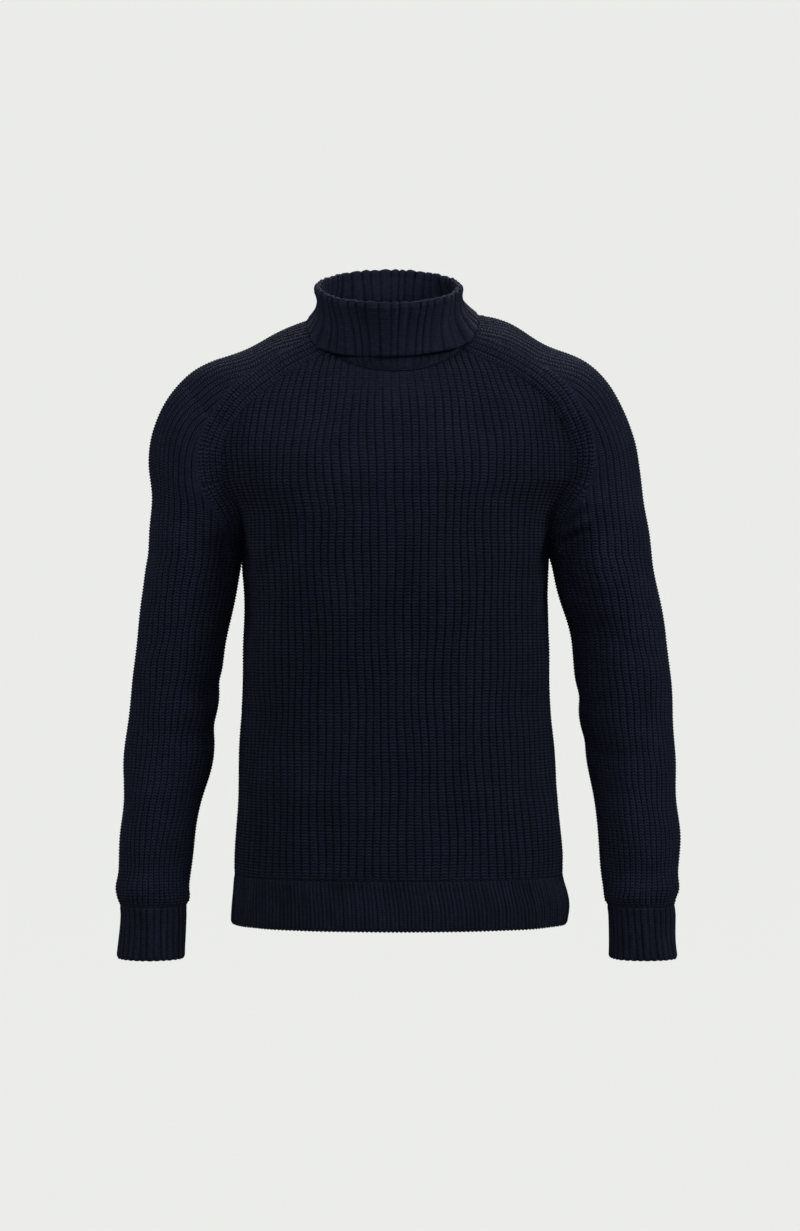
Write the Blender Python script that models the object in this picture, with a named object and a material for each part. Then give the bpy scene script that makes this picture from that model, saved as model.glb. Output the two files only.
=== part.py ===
"""Turtleneck sweater, filled out as worn, hollow and open at neck, hem and cuffs.

Metres, +Z up, the front faces -Y. The origin is the middle of the neck base, where the
wearer's neck and shoulders carry the garment. "left" and "right" are the viewer's.

The body is a stack of rounded sections from hem to neck. Each sleeve is a row of sections
from the neck along the shoulder and down the arm: open arches between the front and the
back raglan seam down to the underarm, closed rings below it. The seams are curves on the
body's own surface, so every piece that meets there is worked out from the same points.
"""
import math
from functools import lru_cache

import bmesh
import bpy
import numpy as np

# Driving sizes
WALL = 0.0026            # knit, without the ribs
RIB = 0.0012             # how far a rib stands up
SEAM_GAP = 0.0003        # between two pieces at a seam
SECTION_POWER = 2.3      # 2 is an ellipse, more is squarer
BODY_RIBS = 50           # across the front, and across the back
SLEEVE_RIBS = 40         # round the upper arm
HEM_RIBS = 50            # across the front, and across the back
CUFF_RIBS = 30
COLLAR_RIBS = 44
BODY_ROWS = 10
SLEEVE_ROWS = 13
SEAM_STEPS = 20          # along one raglan seam
NECK_STEPS = {"front": 16, "strap": 8, "back": 14}
EDGE = 0.006             # plain strip beside a seam, before the ribs start
INNER_STEP = 4           # the plain inside has one line of points for so many outside
INNER_FINE = {"body": 0.55, "sleeve": 0.35}    # and one for every two past this share
ROW_CROWD = 1.6          # more than 1 crowds the rows towards the top
UNDERARM = 10            # the sleeve section at which the arch closes to a ring
HEM_TOP = -0.609
HEM_BOTTOM = -0.664
SIDE_RUN = 1.2           # how fast the surface runs on past the side seam, for slopes there
SLOPE_STEP = 2e-3        # change of u, z, turn or section number that a slope is taken over
SHIFT_STEP = 0.003       # longest single step when a point moves along a surface
CORE_TOP = -0.08         # the body's inside is looked for on its middle line, up to here
SEAM_MARGIN = 0.02       # normals at the ends of a seam are taken this far inside, in sections
SIDE_MARGIN = 0.002      # and on the body this share short of the side seam
NECK_STEP = 0.01         # share or turn over which the neckline's direction is taken
UNDERARM_DROP = 1.5      # strips wide that the ribs stop below the underarm point
SHARP_ANGLE = 60         # degrees

# How a wall is cut at a seam: square to both pieces where they meet softly, and square to
# its own piece where they meet at an angle
SOFT_MEETING = 0.35
DEEPEST_CUT = 0.6

# Cuffs: length, spread and waist as shares of the sleeve's end, and the lean per metre down
CUFF_LENGTH = 0.0585
CUFF_SPREAD = 0.043
CUFF_WAIST = 0.03
CUFF_SLOPE = {"left": (-0.045, -0.06, 0.0), "right": (0.030, -0.06, 0.0)}

# Body sections: height, half width, depth of the front and of the back, middle in x
BODY = {
    "z":      (0.020, -0.010, -0.028, -0.051, -0.090, -0.134, -0.170, -0.190, -0.208, -0.230,
               -0.250, -0.302, -0.358, -0.414, -0.470, -0.526, -0.582, -0.609, -0.640, -0.664),
    "half":   (0.168, 0.178, 0.184, 0.195, 0.211, 0.220, 0.209, 0.192, 0.179, 0.1725,
               0.1715, 0.169, 0.170, 0.171, 0.175, 0.1775, 0.1825, 0.183, 0.1875, 0.1875),
    "front":  (0.028, 0.036, 0.048, 0.066, 0.092, 0.111, 0.120, 0.123, 0.125, 0.1255,
               0.125, 0.122, 0.117, 0.113, 0.111, 0.112, 0.114, 0.115, 0.117, 0.117),
    "back":   (0.062, 0.076, 0.083, 0.091, 0.103, 0.112, 0.115, 0.115, 0.114, 0.113,
               0.111, 0.106, 0.102, 0.100, 0.101, 0.104, 0.108, 0.110, 0.112, 0.112),
    "middle": (-0.004, -0.004, -0.004, -0.004, -0.003, -0.003, -0.002, -0.002, -0.001, -0.001,
               -0.001, 0.0, 0.0, 0.0, 0.001, 0.002, 0.003, 0.003, 0.005, 0.004),
}

# Raglan seams, neck to underarm, by sleeve section: the share of the way from the middle
# of the front or back to the side, and the height on the front
SEAMS = {
    "left": {
        "share": (0.340, 0.485, 0.590, 0.655, 0.695, 0.725, 0.750, 0.775, 0.805, 0.870, 1.0),
        "z":     (-0.028, -0.047, -0.070, -0.093, -0.120, -0.149, -0.171, -0.190, -0.208, -0.230, -0.250),
    },
    "right": {
        "share": (0.385, 0.530, 0.640, 0.700, 0.735, 0.757, 0.776, 0.797, 0.830, 0.890, 1.0),
        "z":     (-0.026, -0.042, -0.060, -0.078, -0.102, -0.130, -0.156, -0.179, -0.203, -0.228, -0.250),
    },
}
BACK_SEAM_LIFT = (0.040, 0.036, 0.029, 0.020, 0.011, 0.005, 0.001, 0.0, 0.0, 0.0, 0.0)

# Sleeve sections from the neck to the cuff: the outer side of each, and the inner side of
# those below the underarm, which are level
SLEEVES = {
    "left": {
        "outer_x": (-0.088, -0.130, -0.165, -0.204, -0.235, -0.2576, -0.270, -0.2744, -0.272, -0.2744,
                    -0.2766, -0.280, -0.2834, -0.289, -0.2957, -0.300, -0.3024, -0.3035, -0.307, -0.309,
                    -0.308, -0.306),
        "outer_z": (0.010, -0.003, -0.022, -0.034, -0.053, -0.078, -0.112, -0.151, -0.190, -0.224,
                    -0.250, -0.269, -0.302, -0.347, -0.392, -0.437, -0.482, -0.526, -0.571, -0.616,
                    -0.633, -0.6415),
        "inner_x": (-0.1765, -0.1825, -0.1905, -0.196, -0.2016, -0.207, -0.217, -0.226, -0.2307,
                    -0.230, -0.2335),
    },
    "right": {
        "outer_x": (0.087, 0.1254, 0.167, 0.208, 0.235, 0.254, 0.2654, 0.270, 0.2755, 0.282,
                    0.2856, 0.288, 0.2934, 0.3013, 0.307, 0.310, 0.3114, 0.3114, 0.3147, 0.3147,
                    0.3105, 0.309),
        "outer_z": (0.012, 0.003, -0.019, -0.035, -0.058, -0.090, -0.123, -0.157, -0.194, -0.226,
                    -0.250, -0.269, -0.302, -0.347, -0.392, -0.437, -0.482, -0.526, -0.571, -0.616,
                    -0.633, -0.6415),
        "inner_x": (0.177, 0.185, 0.197, 0.2027, 0.207, 0.214, 0.223, 0.2274, 0.2307, 0.2315, 0.236),
    },
}
SLEEVE_DEPTH = (0.050, 0.055, 0.060, 0.065, 0.068, 0.070, 0.071, 0.072, 0.0725, 0.0705, 0.068,
                0.0665, 0.0655, 0.063, 0.060, 0.058, 0.0555, 0.052, 0.048, 0.044, 0.0425, 0.040)
SLEEVE_MIDDLE_Y = (0.0, 0.0, 0.0, 0.0, 0.0, 0.0, 0.0, 0.0, 0.0, 0.0, 0.0,
                   0.0, 0.001, 0.003, 0.004, 0.003, 0.0, -0.006, -0.014, -0.022, -0.025, -0.0265)

# Neckline, lowest at the middle of the front, and the collar folded over above it
NECK_FRONT_Z = -0.051
NECK_BACK_Z = 0.018
NECK_CURVE = 2.4         # how late the neckline rises from its middle to the seams
NECK_OVAL = {"half": 0.088, "depth": 0.064, "middle_y": -0.005}
COLLAR_MIDDLE = (-0.0084, -0.0075)
COLLAR_FOLD = {"half": 0.0790, "depth": 0.0735, "z": 0.0435, "tilt": 0.0257}
COLLAR_LAYER = 0.0024    # one layer of the collar, without the ribs
COLLAR_RIB = 0.0014
COLLAR_APART = 0.0012    # between the stand and the part that is folded down
COLLAR_BOW = {"stand": 0.004, "folded": 0.003}    # how far each is drawn in at mid height
# Lower edge of the folded part, which lies on the shoulders: angle from the front, distance
# out from the neckline, height
COLLAR_EDGE = {
    "angle": (-180, -155, -130, -118, -105, -92, -80, -70, -60, -48, -30, 0,
              25, 45, 60, 70, 80, 90, 100, 112, 124, 145, 180),
    "out":   (0.004, 0.004, 0.004, 0.003, 0.003, 0.003, 0.0035, 0.005, 0.0075, 0.007, 0.0065, 0.0065,
              0.006, 0.006, 0.006, 0.005, 0.004, 0.0035, 0.0035, 0.003, 0.004, 0.004, 0.004),
    "z":     (0.0205, 0.0200, 0.0205, 0.0195, 0.0140, 0.0070, -0.0020, -0.0118,
              -0.0280, -0.0335, -0.0355, -0.0362, -0.0348, -0.0300, -0.0240, -0.0140,
              -0.0025, 0.0075, 0.0150, 0.0212, 0.0235, 0.0205, 0.0205),
}
# Rings of the collar, from its neckline up the inside of the stand, over the fold, down the
# outside and back up between the layers. level: 0 neckline, 1 fold, 2 lower edge. side: -1 the
# stand's inside and 1 the folded part's outside, as shares of the half thickness. rib: share of
# a rib's height
COLLAR_SEEN = {
    "level": (0.24, 0.5, 0.9, 1.0, 1.0, 1.0, 1.12, 1.55, 2.0),
    "side":  (-1.0, -1.0, -1.0, -0.7, 0.0, 0.7, 1.0, 1.0, 1.0),
    "rib":   (-1.0, -1.0, -1.0, -0.5, 0.0, 0.5, 1.0, 1.0, 1.0),
    "lift":  (0.0, 0.0, 0.0, 0.0032, 0.0046, 0.0032, 0.0, 0.0, 0.0),
}
COLLAR_HIDDEN = {
    "level": (2.0, 1.5, 1.1, 1.0, 0.9, 0.5, 0.24),
    "side":  (1.0, 1.0, 1.0, 0.0, -1.0, -1.0, -1.0),
    "lift":  (0.0, 0.0, 0.0, 0.0016, 0.0, 0.0, 0.0),
}

NAVY = (0.0060, 0.0085, 0.0210, 1.0)
ROUGHNESS = 0.9


def through(values, t):
    """Value at the fractional index t of a smooth curve through a table's column."""
    last = len(values) - 1
    t = min(max(t, 0.0), float(last))
    i = min(int(t), last - 1)
    f = t - i
    p1, p2 = values[i], values[i + 1]
    p0 = values[i - 1] if i else 2 * p1 - p2
    p3 = values[i + 2] if i + 2 <= last else 2 * p2 - p1
    return p1 + 0.5 * f * (p2 - p0 + f * (2 * p0 - 5 * p1 + 4 * p2 - p3 + f * (3 * (p1 - p2) + p3 - p0)))


def unit(vector):
    return vector / max(np.linalg.norm(vector), 1e-12)


# The body's surface: u is 0 at the middle of the front or back and 1 at the side,
# measured along the section, so that ribs at equal steps of u are equally wide

@lru_cache(maxsize=4096)
def body_section(face, z):
    index = np.interp(-z, [-v for v in BODY["z"]], range(len(BODY["z"])))
    half = through(BODY["half"], index)
    depth = through(BODY[face], index)
    turn = np.linspace(0, math.pi / 2, 73)
    x = half * np.sin(turn) ** (2 / SECTION_POWER)
    y = depth * np.cos(turn) ** (2 / SECTION_POWER)
    length = np.concatenate(([0.0], np.cumsum(np.hypot(np.diff(x), np.diff(y)))))
    return x, y, length / length[-1], through(BODY["middle"], index)


def body_point(face, u, z):
    x, y, share, middle = body_section(face, round(z, 6))
    side = math.copysign(1.0, u)
    at = min(abs(u), 1.0)
    depth = float(np.interp(at, share, y))
    return np.array((middle + side * float(np.interp(at, share, x)), -depth if face == "front" else depth, z))


def body_share(face, x, z):
    """The u of the body's surface at a given x."""
    across, _, share, middle = body_section(face, round(z, 6))
    return math.copysign(float(np.interp(abs(x - middle), across, share)), x - middle)


# A raglan seam: v is the sleeve section's index, from 0 at the neck to UNDERARM

def seam_place(side, face, v):
    """The seam's u and height on the body."""
    sign = -1.0 if side == "left" else 1.0
    lift = through(BACK_SEAM_LIFT, v) if face == "back" else 0.0
    share = 1.0 if v >= UNDERARM else min(through(SEAMS[side]["share"], v), 1.0)
    return sign * share, through(SEAMS[side]["z"], v) + lift


def seam_point(side, face, v):
    u, z = seam_place(side, face, v)
    return body_point(face, u, z)


# A sleeve's surface: v as above, and on to the cuff; turn is 0 on the outer side

@lru_cache(maxsize=4096)
def sleeve_section(side, v):
    """Middle, the vector to the outer side, the vector to the back, and the last turn."""
    table = SLEEVES[side]
    outer_x = through(table["outer_x"], v)
    outer_z = through(table["outer_z"], v)
    depth = through(SLEEVE_DEPTH, v)
    if v >= UNDERARM:
        middle_y = through(SLEEVE_MIDDLE_Y, v)
        inner_x = through((seam_point(side, "front", UNDERARM)[0],) + table["inner_x"], v - UNDERARM)
        inner = np.array((inner_x, middle_y, outer_z))
        outer = np.array((outer_x, middle_y, outer_z))
        return (inner + outer) / 2, (outer - inner) / 2, np.array((0.0, depth, 0.0)), math.pi
    front = seam_point(side, "front", v)
    back = seam_point(side, "back", v)
    base = (front + back) / 2
    reach = np.linalg.norm(back - front) / 2
    depth = max(depth, reach)
    last = math.pi - math.asin(min(reach / depth, 1.0))
    height = np.array((outer_x, base[1], outer_z)) - base
    middle = base - height * (math.cos(last) / (1 - math.cos(last)))
    across = unit(back - front) * depth if reach > 1e-5 else np.array((0.0, depth, 0.0))
    return middle, base + height - middle, across, last


def sleeve_point(side, turn, v):
    middle, out, back, _ = sleeve_section(side, round(v, 6))
    return middle + out * math.cos(turn) + back * math.sin(turn)


@lru_cache(maxsize=4096)
def sleeve_lengths(side, v, sign):
    """Turns and the lengths along the section from the outer side, towards front or back."""
    middle, out, back, last = sleeve_section(side, v)
    turns = np.linspace(0, last, 49)
    points = middle + np.outer(np.cos(turns), out) + sign * np.outer(np.sin(turns), back)
    steps = np.linalg.norm(np.diff(points, axis=0), axis=1)
    return turns, np.concatenate(([0.0], np.cumsum(steps)))


def rib_reach(side, v, sign):
    """Length from the outer side to the last rib: the whole ring, and as much above it."""
    return sleeve_lengths(side, round(max(v, float(UNDERARM)), 6), sign)[1][-1]


def sleeve_turn(side, share, v):
    """The turn of the rib line with this share, -1 or 1 being the underarm line."""
    sign = math.copysign(1.0, share)
    turns, lengths = sleeve_lengths(side, round(v, 6), sign)
    along = abs(share) * rib_reach(side, v, sign)
    over = max(along - lengths[-1], 0.0)
    pace = (lengths[-1] - lengths[-2]) / (turns[-1] - turns[-2])
    return sign * (float(np.interp(along, lengths, turns)) + over / pace)


def sleeve_share(side, turn, v):
    sign = math.copysign(1.0, turn)
    turns, lengths = sleeve_lengths(side, round(v, 6), sign)
    return sign * float(np.interp(abs(turn), turns, lengths)) / rib_reach(side, v, sign)


# Surfaces in general: a function of two numbers, with the side that faces out

class Surface:
    def __init__(self, point, core):
        self.point = point       # gives the place of (a, b)
        self.core = core         # gives a place inside the garment at (a, b)

    def slopes(self, a, b):
        step = SLOPE_STEP
        along_a = (self.point(a + step, b) - self.point(a - step, b)) / (2 * step)
        along_b = (self.point(a, b + step) - self.point(a, b - step)) / (2 * step)
        return along_a, along_b

    def normal(self, a, b):
        along_a, along_b = self.slopes(a, b)
        normal = unit(np.cross(along_a, along_b))
        return normal if normal @ (self.point(a, b) - self.core(a, b)) > 0 else -normal

    def shifted(self, a, b, way, distance):
        """The (a, b) that lies a distance away in the direction way, along the surface."""
        steps = max(1, round(distance / SHIFT_STEP))
        for _ in range(steps):
            slopes = np.stack(self.slopes(a, b), axis=1)
            change = np.linalg.lstsq(slopes, way * distance / steps, rcond=None)[0]
            a, b = a + change[0], b + change[1]
        return a, b


def body_surface(face):
    def point(u, z):
        place = body_point(face, u, z)
        if abs(u) > 1.0:
            across, deep, _, _ = body_section(face, round(z, 6))
            past = (abs(u) - 1.0) * math.hypot(across[-1], deep[0]) * SIDE_RUN
            place[1] += past if face == "front" else -past
        return place

    def core(u, z):
        return np.array((0.0, 0.0, min(z, CORE_TOP)))

    return Surface(point, core)


def sleeve_surface(side):
    def point(turn, v):
        return sleeve_point(side, turn, v)

    def core(turn, v):
        return sleeve_section(side, round(v, 6))[0]

    return Surface(point, core)


SURFACES = {
    "front": body_surface("front"),
    "back": body_surface("back"),
    "sleeve_left": sleeve_surface("left"),
    "sleeve_right": sleeve_surface("right"),
}


# Edges that two pieces share

def edge_entry(place, normal, way, others):
    """Outer and inner corner of one piece's edge at a shared point.

    way leads into the piece; others are the normals of what it meets there.
    """
    common = unit(normal + sum(others))
    soft = min(float(normal @ other) for other in others)
    share = min(max(soft / SOFT_MEETING, 0.0), 1.0)
    cut = unit(common * share + normal * (1 - share))
    reach = WALL / max(float(cut @ normal), DEEPEST_CUT)
    outer = place + way * (SEAM_GAP / 2)
    return outer, outer - cut * reach


def way_into(normal, tangent, target):
    """Direction in the surface, square to the seam, towards a point of the piece."""
    way = unit(np.cross(normal, tangent))
    return way if way @ target > 0 else -way


def seam_frames(side, face):
    """Along one raglan seam, neck to underarm: place, tangent, and both pieces' normals and (a, b)."""
    frames = []
    body = SURFACES[face]
    sleeve = SURFACES["sleeve_" + side]
    sign = -1.0 if face == "front" else 1.0
    for i in range(SEAM_STEPS + 1):
        v = UNDERARM * i / SEAM_STEPS
        u, z = seam_place(side, face, v)
        turn = sign * sleeve_section(side, round(v, 6))[3]
        ahead = seam_point(side, face, min(v + SEAM_MARGIN, UNDERARM))
        behind = seam_point(side, face, max(v - SEAM_MARGIN, 0.0))
        inside = min(max(v, SEAM_MARGIN), UNDERARM - SEAM_MARGIN)
        frames.append({
            "place": seam_point(side, face, v),
            "tangent": unit(ahead - behind),
            "body": (u, z),
            "sleeve": (turn, v),
            "body_normal": body.normal(math.copysign(min(abs(u), 1 - SIDE_MARGIN), u), z),
            "sleeve_normal": sleeve.normal(turn, inside),
        })
    return frames


def neck_place(face, share):
    """Neckline on the front or the back, share from -1 at the left seam to 1 at the right."""
    side = "left" if share < 0 else "right"
    _, seam_height = seam_place(side, face, 0.0)
    low = NECK_FRONT_Z if face == "front" else NECK_BACK_Z
    z = low + (seam_height - low) * abs(share) ** NECK_CURVE
    left = seam_point("left", face, 0.0)[0]
    right = seam_point("right", face, 0.0)[0]
    x = left + (right - left) * (share + 1) / 2
    return body_share(face, x, z), z


# Meshes

def zip_rows(bm, first, second):
    """Triangles between two rows of vertices that run the same way, of any two counts."""
    i = j = 0
    while i < len(first) - 1 or j < len(second) - 1:
        if j == len(second) - 1:
            forward = True
        elif i == len(first) - 1:
            forward = False
        else:
            forward = (first[i + 1].co - second[j].co).length <= (first[i].co - second[j + 1].co).length
        corners = [first[i], second[j], first[i + 1] if forward else second[j + 1]]
        if len(set(corners)) == 3:
            bm.faces.new(corners)
        i += forward
        j += not forward


def grid_faces(bm, columns):
    """Triangles of a grid; each quad is cut along its shorter diagonal."""
    for left, right in zip(columns, columns[1:]):
        for r in range(len(left) - 1):
            a, b, d, e = left[r], right[r], right[r + 1], left[r + 1]
            if (a.co - d.co).length < (b.co - e.co).length:
                bm.faces.new((a, b, d))
                bm.faces.new((a, d, e))
            else:
                bm.faces.new((a, b, e))
                bm.faces.new((b, d, e))


def new_vert(bm, place):
    return bm.verts.new(tuple(float(v) for v in place))


def make_object(name, bm):
    bmesh.ops.recalc_face_normals(bm, faces=bm.faces[:])
    mesh = bpy.data.meshes.new(name)
    bm.to_mesh(mesh)
    bm.free()
    obj = bpy.data.objects.new(name, mesh)
    bpy.context.scene.collection.objects.link(obj)
    mesh.shade_smooth()
    mesh.set_sharp_from_angle(angle=math.radians(SHARP_ANGLE))
    material = bpy.data.materials.new(name + "_wool")
    material.use_nodes = True
    shader = material.node_tree.nodes["Principled BSDF"]
    shader.inputs["Base Color"].default_value = NAVY
    shader.inputs["Roughness"].default_value = ROUGHNESS
    mesh.materials.append(material)
    return obj


def body_edge(face):
    """Top edge of the front or the back, left underarm to right underarm.

    Gives for each point its outer and inner corner and the (u, z) a strip's width inside.
    """
    surface = SURFACES[face]
    corners = []
    places = []
    left = seam_frames("left", face)
    right = seam_frames("right", face)
    for side, frames in (("left", list(reversed(left))), ("neck", None), ("right", right)):
        if frames is None:
            steps = NECK_STEPS[face]
            for i in range(1, steps):
                share = -1 + 2 * i / steps
                u, z = neck_place(face, share)
                near = [body_point(face, *neck_place(face, share + step)) for step in (-NECK_STEP, NECK_STEP)]
                normal = surface.normal(u, z)
                way = way_into(normal, unit(near[1] - near[0]), np.array((0, 0, -1.0)))
                place = body_point(face, u, z)
                corners.append(edge_entry(place, normal, way, [neck_normal(place)]))
                places.append(surface.shifted(u, z, way, EDGE))
            continue
        for i, frame in enumerate(frames):
            normal = frame["body_normal"]
            inward = np.array((-frame["place"][0], 0.0, -EDGE * 10))
            way = way_into(normal, frame["tangent"], inward)
            others = [frame["sleeve_normal"]]
            at_neck = i == (len(frames) - 1 if side == "left" else 0)
            at_underarm = i == (0 if side == "left" else len(frames) - 1)
            if at_neck:
                others.append(neck_normal(frame["place"]))
                way = way + np.array((0, 0, -1.0))
            if at_underarm:
                way = way * (1, 0, 1) + np.array((0, -1.0 if face == "front" else 1.0, 0))
            corners.append(edge_entry(frame["place"], normal, way, others))
            u, z = frame["body"]
            if at_underarm:
                places.append((u, z - EDGE * UNDERARM_DROP))
            else:
                places.append(surface.shifted(u, z, unit(way), EDGE))
    return corners, places


def neck_normal(place):
    """Way out of the collar's stand at a point of the neckline."""
    out = np.array((place[0], place[1] - NECK_OVAL["middle_y"], 0.0))
    return unit(out / (NECK_OVAL["half"] ** 2, NECK_OVAL["depth"] ** 2, 1.0))


def panel_columns(surface, places, bottom, count, rows, share_of, at_share):
    """Places and normals of the rib lines, each from the bottom edge to the top strip."""
    shares = np.array([share_of(*place) for place in places])
    tops = np.array([place[1] for place in places])
    order = np.argsort(shares, kind="stable")
    columns = []
    for k in range(count + 1):
        share = -1 + 2 * k / count
        top = float(np.interp(share, shares[order], tops[order]))
        column = []
        for r in range(rows + 1):
            b = bottom + (top - bottom) * (1 - (1 - r / rows) ** ROW_CROWD)
            a = at_share(share, b)
            column.append((surface.point(a, b), surface.normal(a, b)))
        columns.append(column)
    return columns


def body_panel(face):
    corners, places = body_edge(face)
    surface = SURFACES[face]
    count = 2 * BODY_RIBS
    bottom = HEM_TOP + SEAM_GAP / 2
    columns = panel_columns(surface, places, bottom, count, BODY_ROWS, lambda u, z: u, lambda share, z: share)
    bm = bmesh.new()
    seam_shift = np.array((0, (-1 if face == "front" else 1) * SEAM_GAP / 2, 0))
    outer = []
    inner = []
    for k, column in enumerate(columns):
        at_side = k in (0, count)
        shift = seam_shift if at_side else 0.0
        height = RIB if k % 2 else 0.0
        last = len(column) - 1
        outer.append([new_vert(bm, place + shift + flat(normal, at_side) * (height if r < last else 0.0))
                      for r, (place, normal) in enumerate(column)])
        if on_inside(k, count, INNER_FINE["body"]):
            inner.append([new_vert(bm, place + shift - flat(normal, at_side) * WALL)
                          for place, normal in column])
    level_bottom(outer, inner, bottom)
    grid_faces(bm, outer)
    grid_faces(bm, inner)
    edge_out = [new_vert(bm, corner[0]) for corner in corners]
    edge_in = [new_vert(bm, corner[1]) for corner in corners]
    for end in (0, -1):
        edge_out[end].co.y = seam_shift[1]
        edge_in[end].co.y = seam_shift[1]
    zip_rows(bm, [column[-1] for column in outer], edge_out)
    zip_rows(bm, [column[-1] for column in inner], edge_in)
    zip_rows(bm, edge_out, edge_in)
    zip_rows(bm, [column[0] for column in outer], [column[0] for column in inner])
    for end in (0, -1):
        zip_rows(bm, outer[end] + [edge_out[end]], inner[end] + [edge_in[end]])
    return make_object(face, bm)


def on_inside(k, count, fine_past):
    """Whether the plain inside has a line of points behind the outside's line k."""
    return k % (2 if abs(2 * k / count - 1) > fine_past else INNER_STEP) == 0


def flat(normal, at_side):
    """On a side seam the wall is cut in the seam's own plane."""
    return unit(normal * (1, 0, 1)) if at_side else normal


def level_bottom(outer, inner, z):
    for column in outer + inner:
        column[0].co.z = z


def sleeve_edge(side):
    """Top edge of a sleeve: underarm, front seam, neck, back seam, underarm again."""
    surface = SURFACES["sleeve_" + side]
    front = seam_frames(side, "front")
    back = seam_frames(side, "back")
    down_arm = unit(sleeve_section(side, UNDERARM + 1.0)[0] - sleeve_section(side, float(UNDERARM))[0])
    entries = []
    for face, frames in (("front", list(reversed(front))), ("neck", None), ("back", back)):
        if frames is None:
            steps = NECK_STEPS["strap"]
            last = sleeve_section(side, 0.0)[3]
            for i in range(1, steps):
                turn = last * (-1 + 2 * i / steps)
                normal = surface.normal(turn, SEAM_MARGIN)
                near = [surface.point(turn + step, 0.0) for step in (-NECK_STEP, NECK_STEP)]
                outward = np.array((-1.0 if side == "left" else 1.0, 0, -0.2))
                way = way_into(normal, unit(near[1] - near[0]), outward)
                place = surface.point(turn, 0.0)
                entries.append({"corner": edge_entry(place, normal, way, [neck_normal(place)]),
                                "place": (turn, 0.0), "way": way})
            continue
        for i, frame in enumerate(frames):
            at_underarm = i == (0 if face == "front" else len(frames) - 1)
            at_neck = i == (len(frames) - 1 if face == "front" else 0)
            normal = frame["sleeve_normal"]
            outward = sleeve_section(side, round(frame["sleeve"][1], 6))[1]
            way = way_into(normal, frame["tangent"], outward + down_arm * 0.03)
            others = [frame["body_normal"]]
            if at_neck:
                others.append(neck_normal(frame["place"]))
                way = way + np.array((-1.0 if side == "left" else 1.0, 0, 0))
            if at_underarm:
                way = down_arm
                normal = unit(-sleeve_section(side, float(UNDERARM))[1])
            entries.append({"corner": edge_entry(frame["place"], normal, way, others),
                            "place": frame["sleeve"], "way": unit(way)})
    return entries


def sleeve_strip(side, entry, distance):
    """(turn, v) at a distance inside the sleeve's edge."""
    surface = SURFACES["sleeve_" + side]
    turn, v = entry["place"]
    inside = min(max(v, SEAM_MARGIN), UNDERARM)
    return surface.shifted(turn, inside, entry["way"], distance)


def sleeve_tube(side):
    surface = SURFACES["sleeve_" + side]
    entries = sleeve_edge(side)[:-1]
    count = 2 * SLEEVE_RIBS
    bottom = float(len(SLEEVE_DEPTH) - 1)
    bm = bmesh.new()
    edge_out = [new_vert(bm, entry["corner"][0]) for entry in entries]
    edge_in = [new_vert(bm, entry["corner"][1]) for entry in entries]
    places = [sleeve_strip(side, entry, EDGE) for entry in entries]
    first = places[0]
    closing = [(-math.pi, first[1])] + places[1:] + [(math.pi, first[1])]

    def share_of(turn, v):
        return sleeve_share(side, turn, v)

    def at_share(share, v):
        return sleeve_turn(side, share, v)

    columns = panel_columns(surface, closing, bottom, count, SLEEVE_ROWS, share_of, at_share)[:-1]
    outer = []
    inner = []
    for k, column in enumerate(columns):
        height = RIB if k % 2 else 0.0
        last = len(column) - 1
        outer.append([new_vert(bm, place + normal * (height if r < last else 0.0))
                      for r, (place, normal) in enumerate(column)])
        if on_inside(k, count, INNER_FINE["sleeve"]):
            inner.append([new_vert(bm, place - normal * WALL) for place, normal in column])
    level_bottom(outer, inner, SLEEVES[side]["outer_z"][-1] + SEAM_GAP / 2)
    outer.append(outer[0])
    inner.append(inner[0])
    edge_out.append(edge_out[0])
    edge_in.append(edge_in[0])
    grid_faces(bm, outer)
    grid_faces(bm, inner)
    zip_rows(bm, [column[-1] for column in outer], edge_out)
    zip_rows(bm, [column[-1] for column in inner], edge_in)
    zip_rows(bm, edge_out, edge_in)
    zip_rows(bm, [column[0] for column in outer], [column[0] for column in inner])
    return make_object("sleeve_" + side, bm)


def ribbed_ring(name, section, top, bottom, ribs, rows):
    """A band: section(turn, z) is its outer wall, with ribs up and down it."""
    bm = bmesh.new()
    count = 2 * ribs
    outer = []
    inner = []
    for k in range(count):
        turn = 2 * math.pi * k / count
        column = []
        for r in range(rows + 1):
            z = bottom + (top - bottom) * r / rows
            around = section(turn + SLOPE_STEP, z) - section(turn - SLOPE_STEP, z)
            column.append((section(turn, z), unit(np.cross(around, (0, 0, 1.0)))))
        outer.append([new_vert(bm, place + normal * (RIB if k % 2 else 0.0)) for place, normal in column])
        if k % INNER_STEP == 0:
            inner.append([new_vert(bm, place - normal * WALL) for place, normal in column])
    outer.append(outer[0])
    inner.append(inner[0])
    grid_faces(bm, outer)
    grid_faces(bm, inner)
    for end in (0, -1):
        zip_rows(bm, [column[end] for column in outer], [column[end] for column in inner])
    return make_object(name, bm)


def hem_section(turn, z):
    """turn runs anticlockwise seen from above, from the left side along the front."""
    quarter = turn / (math.pi / 2) % 4
    face = "front" if quarter < 2 else "back"
    u = quarter - 1 if quarter < 2 else 3 - quarter
    return body_point(face, u, z)


def hem_band():
    return ribbed_ring("hem_band", hem_section, HEM_TOP - SEAM_GAP / 2, HEM_BOTTOM, 2 * HEM_RIBS, 1)


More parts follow.
